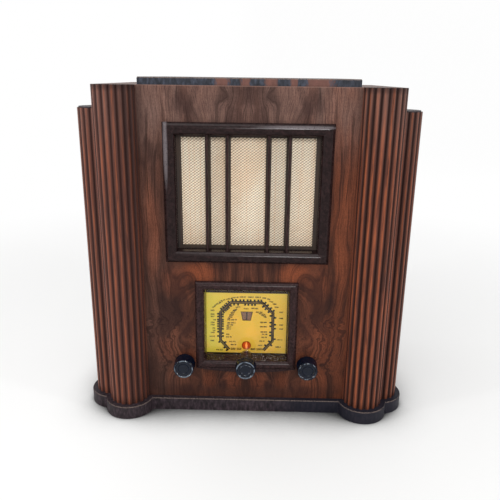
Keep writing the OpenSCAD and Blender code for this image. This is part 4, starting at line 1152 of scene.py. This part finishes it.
class RADIO_OT_dial(bpy.types.Operator):
    """Print the dial, and finish its plate and windows"""

    bl_idname = "radio.dial"
    bl_label = "Dial"

    def execute(self, context):
        dial = context.scene.radio_dial
        face = (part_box("dial_scale")[0].y - FACE) / MM
        black = ink_black(dial)
        coat(dial_yellow(dial), "dial_scale")
        coat(lens_red(dial), "indicator_lens")
        print_track(dial, black, face)
        print_window(dial, black, face)
        cut_card(dial, face)
        print_figures(dial, face)
        return {"FINISHED"}


def clear_glass():
    """Flat glass: clear straight through, with a faint mirror that grows at grazing angles."""
    shader = Shader("dial_glass_clear")
    smear = shader.grain(0.08)
    mirror = shader.value("ShaderNodeFresnel", None, {"IOR": 1.5})
    shader.feed(shader.surface.inputs["Alpha"], mirror * (0.25 + smear * 0.2))
    shader.colour = (1, 1, 1, 1)
    return shader.finish(0.02 + smear * 0.05, Metallic=1.0)


def lamp_glass(tint):
    """Frosted glass of the dial lamps."""
    shader = Shader("lamp_glass")
    smear = shader.grain(0.2)
    shader.feed(shader.surface.inputs["Alpha"], 0.5 + smear * 0.2)
    shader.colour = paint(tint)
    return shader.finish(0.1 + smear * 0.1)


# Metalwork and inner parts

RUST = (0.27, 0.17, 0.11)
IRON_SHEET = 0.8
VALVE_BASE = (0.09, 0.06, 0.05)
VALVE_SILVER = (0.78, 0.78, 0.80)
# Height of a valve's moulded base and of the bulb over it
VALVE_BASE_HEIGHT = 32
VALVE_BULB_HEIGHT = 68


def brushed(name, tint, roughness, strokes, blotch=0.5):
    """Metal with fine strokes, given as their pitch along each axis, and a dull tarnish."""
    shader = Shader(name)
    stroke = shader.grain(strokes, 3.0, 0.7)
    tarnish = shader.grain(0.03, 4.0, 0.6)
    shader.ground(stroke, (0.3, tint, 0.82), (0.7, tint, 1.08))
    shader.lay(tint, shader.smooth(tarnish, 0.5, 0.75) * blotch, 0.55)
    return shader.finish(roughness + tarnish * 0.25, stroke, relief=0.01, Metallic=1.0)


def painted(name, tint, roughness=0.45):
    """Sprayed paint under a little dust."""
    shader = Shader(name)
    orange_peel = shader.grain(0.8)
    dust = shader.grain(0.05, 4.0, 0.6)
    shader.ground(dust, (0.35, tint, 0.8), (0.75, tint, 1.4))
    return shader.finish(roughness + dust * 0.2, orange_peel, relief=0.03)


def laminated(name, tint):
    """Stacked iron sheets of a transformer."""
    shader = Shader(name)
    sheet = abs(shader.maths("SINE", shader.point[1] * (math.pi / IRON_SHEET)))
    rust = shader.grain(0.06, 4.0, 0.6)
    shader.colour = shader.mix(paint(tint, 0.6), paint(tint, 1.3), sheet)
    shader.lay(RUST, shader.smooth(rust, 0.55, 0.75) * 0.5)
    return shader.finish(0.5 + rust * 0.2, sheet)


def paper_black():
    """Dark pulp of the loudspeaker's cone."""
    shader = Shader("cone_paper")
    pulp = shader.grain(0.9, 5.0, 0.8)
    shader.ground(pulp, (0.3, (0.14, 0.12, 0.11)), (0.75, (0.30, 0.27, 0.23)))
    return shader.finish(0.85, pulp, relief=0.15)


def laminate_board():
    """Brown insulating board with a fibre along it."""
    shader = Shader("laminate_brown")
    fibre = shader.grain((1.2, 0.3, 0.4), 4.0, 0.6)
    shader.ground(fibre, (0.3, (0.33, 0.20, 0.10)), (0.7, (0.56, 0.37, 0.19)))
    return shader.finish(0.4 + fibre * 0.15, fibre, relief=0.02)


def rubber(name, tint):
    """Old rubber with a pale bloom."""
    shader = Shader(name)
    bloom = shader.grain(0.4, 4.0, 0.7)
    shader.ground(bloom, (0.35, tint, 0.8), (0.8, tint, 1.8))
    return shader.finish(0.7 + bloom * 0.15, bloom, relief=0.03)


def valve_glass(name, tint, base_top, silver):
    """Bulb over a moulded base; silver is the mirrored share of its top, and over 1 all of it."""
    shader = Shader(name)
    z = shader.point[2]
    silver_foot = base_top + VALVE_BULB_HEIGHT * (1 - silver)
    bulb = shader.smooth(z, base_top, base_top + 0.5)
    top = shader.smooth(z, silver_foot, silver_foot + 6)
    smear = shader.grain(0.15)
    shader.colour = paint(VALVE_BASE)
    shader.lay(tint, bulb)
    shader.lay(VALVE_SILVER, top * bulb)
    shader.feed(shader.surface.inputs["Alpha"], 1 - bulb * (1 - top) * 0.55)
    shader.feed(shader.surface.inputs["Metallic"], top * bulb)
    return shader.finish(0.08 + smear * 0.15)


class RADIO_OT_works(bpy.types.Operator):
    """Finish the chassis, the loudspeaker, the valves, the dial's glass and the tuning works"""

    bl_idname = "radio.works"
    bl_label = "Inner works"

    def execute(self, context):
        steel = brushed("chassis_plating", (0.66, 0.64, 0.58), 0.34, (3.0, 0.3, 3.0))
        spun = brushed("spun_aluminium", (0.80, 0.80, 0.80), 0.28, (0.3, 0.3, 6.0), 0.25)
        brass = brushed("turned_brass", (0.78, 0.62, 0.32), 0.26, (1.8, 6.0, 1.8))
        coat(steel, "chassis", "gang_frame", "chassis_bolts", "volume_shaft", "wave_shaft")
        coat(spun, "smoothing_cans", "coil_cans", "valve_shields", "gang_stators", "gang_rotor")
        coat(spun, "meter_vane")
        coat(brass, "tuning_spindle", "drive_disc", "back_screws")
        coat(painted("bracket_brown", (0.74, 0.56, 0.44)), "dial_bracket")
        coat(painted("basket_black", (0.17, 0.17, 0.18)), "speaker_basket")
        coat(painted("pointer_red", (0.60, 0.16, 0.09), 0.35), "pointer")
        coat(painted("magnet_black", (0.15, 0.15, 0.16), 0.4), "speaker_magnet")
        coat(laminated("iron_sheets", (0.20, 0.19, 0.19)), "power_transformer")
        coat(laminated("output_iron", (0.22, 0.20, 0.19)), "output_transformer")
        coat(paper_black(), "speaker_cone", "speaker_surround")
        board = laminate_board()
        coat(board, "valve_sockets", "wave_switch", "volume_control", "socket_strip")
        coat(board, "tuning_meter")
        coat(rubber("gland_rubber", (0.10, 0.10, 0.10)), "mains_gland")
        coat(rubber("lead_rubber", (0.36, 0.12, 0.10)), "speaker_lead")
        coat(clear_glass(), "dial_glass")
        coat(lamp_glass((0.95, 0.90, 0.78)), "dial_lamps")
        base_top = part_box("rectifier_valve")[0].z / MM + VALVE_BASE_HEIGHT
        clear = valve_glass("valve_clear", (0.75, 0.80, 0.80), base_top, 0.22)
        coated = valve_glass("valve_grey", (0.52, 0.53, 0.54), base_top, 1.2)
        coat(clear, "rectifier_valve", "output_valve")
        coat(coated, "mixer_valve", "if_valve", "detector_valve")
        return {"FINISHED"}


# Stage

# The camera's place from the middle of the panel's foot, in millimetres, and its turn in degrees
CAMERA_PLACE = (14.92, -686.7, 427.7)
CAMERA_TURN = (72.7717, -0.6977, 1.1514)
SENSOR_WIDTH = 36.0
# The lamps in metres: name, place, size, and the setting that holds its power
LAMPS = (
    ("key", (0.19, -2.0, 1.05), (0.4, 0.35), "key_power"),
    ("top", (-0.2, -0.8, 2.0), (1.6, 1.0), "top_power"),
    ("left", (-1.7, -0.9, 0.8), (0.22, 0.9), "side_power"),
    ("right", (1.7, -0.9, 0.8), (0.22, 0.9), "side_power"),
)
LAMP_AIM = (0, 0, 0.25)
# The sweep in metres: width and depth of its floor, the floor's middle, the curve, the wall
SWEEP_WIDTH, SWEEP_DEPTH, SWEEP_MIDDLE = 8, 5, -0.5
SWEEP_CURVE, SWEEP_STEPS, SWEEP_WALL = 1.2, 12, 2.5
# How far the painted dark under the radio and the painted shade beside it reach, in metres
DARK_REACH, SHADE_REACH = 0.09, 0.6


def seen_rays(tree):
    """1 for rays that show the backdrop: from the camera, mirrored or through glass."""
    path = tree.nodes.new("ShaderNodeLightPath")
    total = path.outputs["Is Camera Ray"]
    for name in ("Is Glossy Ray", "Is Transmission Ray"):
        larger = tree.nodes.new("ShaderNodeMath")
        larger.operation = "MAXIMUM"
        tree.links.new(total, larger.inputs[0])
        tree.links.new(path.outputs[name], larger.inputs[1])
        total = larger.outputs[0]
    return total


def blend(tree, share, under, over):
    """Two shaders mixed, with this share of the second."""
    made = tree.nodes.new("ShaderNodeMixShader")
    for socket, source in zip(made.inputs, (share, under, over)):
        tree.links.new(source, socket)
    return made.outputs[0]


def pale_floor(stage):
    """Pale floor that keeps the radio's shadow, with a painted contact shadow round its foot and
    painted shade on its right, and turns white further out.
    """
    shader = Shader("pale_floor")
    x, y, _ = shader.point
    samples = {"samples": 16}
    near = shader.value("ShaderNodeAmbientOcclusion", samples, {"Distance": DARK_REACH}, "AO")
    wide = shader.value("ShaderNodeAmbientOcclusion", samples, {"Distance": SHADE_REACH}, "AO")
    # Painted contact shadow: darker colour and less white where the near occlusion is high
    clear = shader.smooth(near, 0.38, 1.0)
    # Painted shade on the radio's right, from the wide occlusion, seen as a dimmer grey
    painted_shade = shader.smooth(x, -240, 60) * (1 - wide)
    shader.colour = paint(stage.floor)
    shader.lay(stage.floor, shader.grain(0.002, 2.0), 0.985)
    shader.colour = shader.mix(paint(stage.floor, 0.22), shader.colour, clear)
    shader.finish(0.9, specular=0.0)
    white, haze_and_shade = (
        shader.node("ShaderNodeEmission", None, {"Color": colour, "Strength": 1.0}).outputs[0]
        for colour in ((1, 1, 1, 1), paint(stage.floor, 0.72))
    )
    shown = blend(shader.tree, painted_shade.socket, white, haze_and_shade)
    far = shader.smooth(distance(x, y), 450, 1300)
    share = (stage.glow + (1 - stage.glow) * far) * clear * Value(shader, seen_rays(shader.tree))
    surface = blend(shader.tree, share.socket, shader.surface.outputs[0], shown)
    shader.feed(shader.tree.nodes["Material Output"].inputs["Surface"], surface)
    return shader.material


class RADIO_OT_stage(bpy.types.Operator):
    """Set up the camera, the soft lamps and the pale floor"""

    bl_idname = "radio.stage"
    bl_label = "Stage"

    def execute(self, context):
        stage = context.scene.radio_stage
        self.camera(context, stage)
        self.sweep(stage)
        for name, place, size, power in LAMPS:
            self.lamp(name, place, size, getattr(stage, power))
        self.world(context, stage)
        context.scene.view_settings.view_transform = "Standard"
        return {"FINISHED"}

    @staticmethod
    def world(context, stage):
        """Even light all round, seen as white."""
        world = bpy.data.worlds.new("studio")
        context.scene.world = world
        world.use_nodes = True
        tree = world.node_tree
        light = tree.nodes["Background"]
        seen = tree.nodes.new("ShaderNodeBackground")
        light.inputs["Color"].default_value = seen.inputs["Color"].default_value = (1, 1, 1, 1)
        light.inputs["Strength"].default_value = stage.sky
        surface = blend(tree, seen_rays(tree), light.outputs[0], seen.outputs[0])
        tree.links.new(surface, tree.nodes["World Output"].inputs["Surface"])

    @staticmethod
    def camera(context, stage):
        bpy.ops.object.camera_add(
            location=inside(*CAMERA_PLACE),
            rotation=[math.radians(turn) for turn in CAMERA_TURN],
        )
        camera = bpy.context.object
        camera.name = "camera"
        camera.data.lens = stage.lens
        camera.data.sensor_width = SENSOR_WIDTH
        camera.data.clip_start = 0.01
        context.scene.camera = camera

    @staticmethod
    def sweep(stage):
        """A pale sweep: floor, a wide curve and a wall behind."""
        deselect()
        bpy.ops.mesh.primitive_plane_add(size=1.0, location=(0, 0, 0))
        sweep = bpy.context.object
        sweep.name = "sweep"
        sweep.scale = (SWEEP_WIDTH, SWEEP_DEPTH, 1)
        sweep.location = (0, SWEEP_MIDDLE, 0)
        settle(sweep, 0)
        bpy.ops.object.mode_set(mode="EDIT")
        bpy.ops.mesh.select_mode(type="EDGE")
        bpy.ops.mesh.select_all(action="DESELECT")
        bpy.ops.object.mode_set(mode="OBJECT")
        for edge in sweep.data.edges:
            ends = [sweep.data.vertices[v].co for v in edge.vertices]
            edge.select = all(end.y > SWEEP_MIDDLE + SWEEP_DEPTH / 2 - 0.1 for end in ends)
        bpy.ops.object.mode_set(mode="EDIT")
        for i in range(SWEEP_STEPS):
            a, b = (math.radians(90 * k / SWEEP_STEPS) for k in (i, i + 1))
            back, up = math.sin(b) - math.sin(a), math.cos(a) - math.cos(b)
            move = (0, SWEEP_CURVE * back, SWEEP_CURVE * up)
            bpy.ops.mesh.extrude_region_move(TRANSFORM_OT_translate={"value": move})
        bpy.ops.mesh.extrude_region_move(TRANSFORM_OT_translate={"value": (0, 0, SWEEP_WALL)})
        bpy.ops.object.mode_set(mode="OBJECT")
        settle(sweep, 30)
        sweep.data.materials.append(pale_floor(stage))

    @staticmethod
    def lamp(name, place, size, power):
        bpy.ops.object.light_add(type="AREA", location=place)
        lamp = bpy.context.object
        lamp.name = name
        lamp.data.energy = power
        lamp.data.shape = "RECTANGLE"
        lamp.data.size, lamp.data.size_y = size
        turn = (Vector(LAMP_AIM) - Vector(place)).to_track_quat("-Z", "Y")
        lamp.rotation_euler = turn.to_euler()


# Add-on


class RADIO_PT_sidebar(bpy.types.Panel):
    """Lists the steps that dress the radio receiver"""

    bl_idname = "RADIO_PT_sidebar"
    bl_label = "Radio Receiver"
    bl_space_type = "VIEW_3D"
    bl_region_type = "UI"
    bl_category = "Radio"

    def draw(self, context):
        for name in STEPS:
            self.layout.operator("radio." + name)
        for group in GROUPS:
            settings = getattr(context.scene, group)
            for key in settings.__annotations__:
                self.layout.prop(settings, key)


STEPS = ("stage", "cabinet", "frames", "cloth", "dial", "knobs", "works")
GROUPS = {
    "radio_wood": RadioWood,
    "radio_mouldings": RadioMouldings,
    "radio_cloth": RadioCloth,
    "radio_dial": RadioDial,
    "radio_stage": RadioStage,
}
CLASSES = (
    *GROUPS.values(),
    RADIO_OT_stage,
    RADIO_OT_cabinet,
    RADIO_OT_frames,
    RADIO_OT_cloth,
    RADIO_OT_dial,
    RADIO_OT_knobs,
    RADIO_OT_works,
    RADIO_PT_sidebar,
)


def register():
    for made in CLASSES:
        bpy.utils.register_class(made)
    for name, group in GROUPS.items():
        setattr(bpy.types.Scene, name, bpy.props.PointerProperty(type=group))


def unregister():
    for name in GROUPS:
        delattr(bpy.types.Scene, name)
    for made in reversed(CLASSES):
        bpy.utils.unregister_class(made)


def main():
    register()
    for name in STEPS:
        getattr(bpy.ops.radio, name)()


if __name__ == "__main__":
    main()
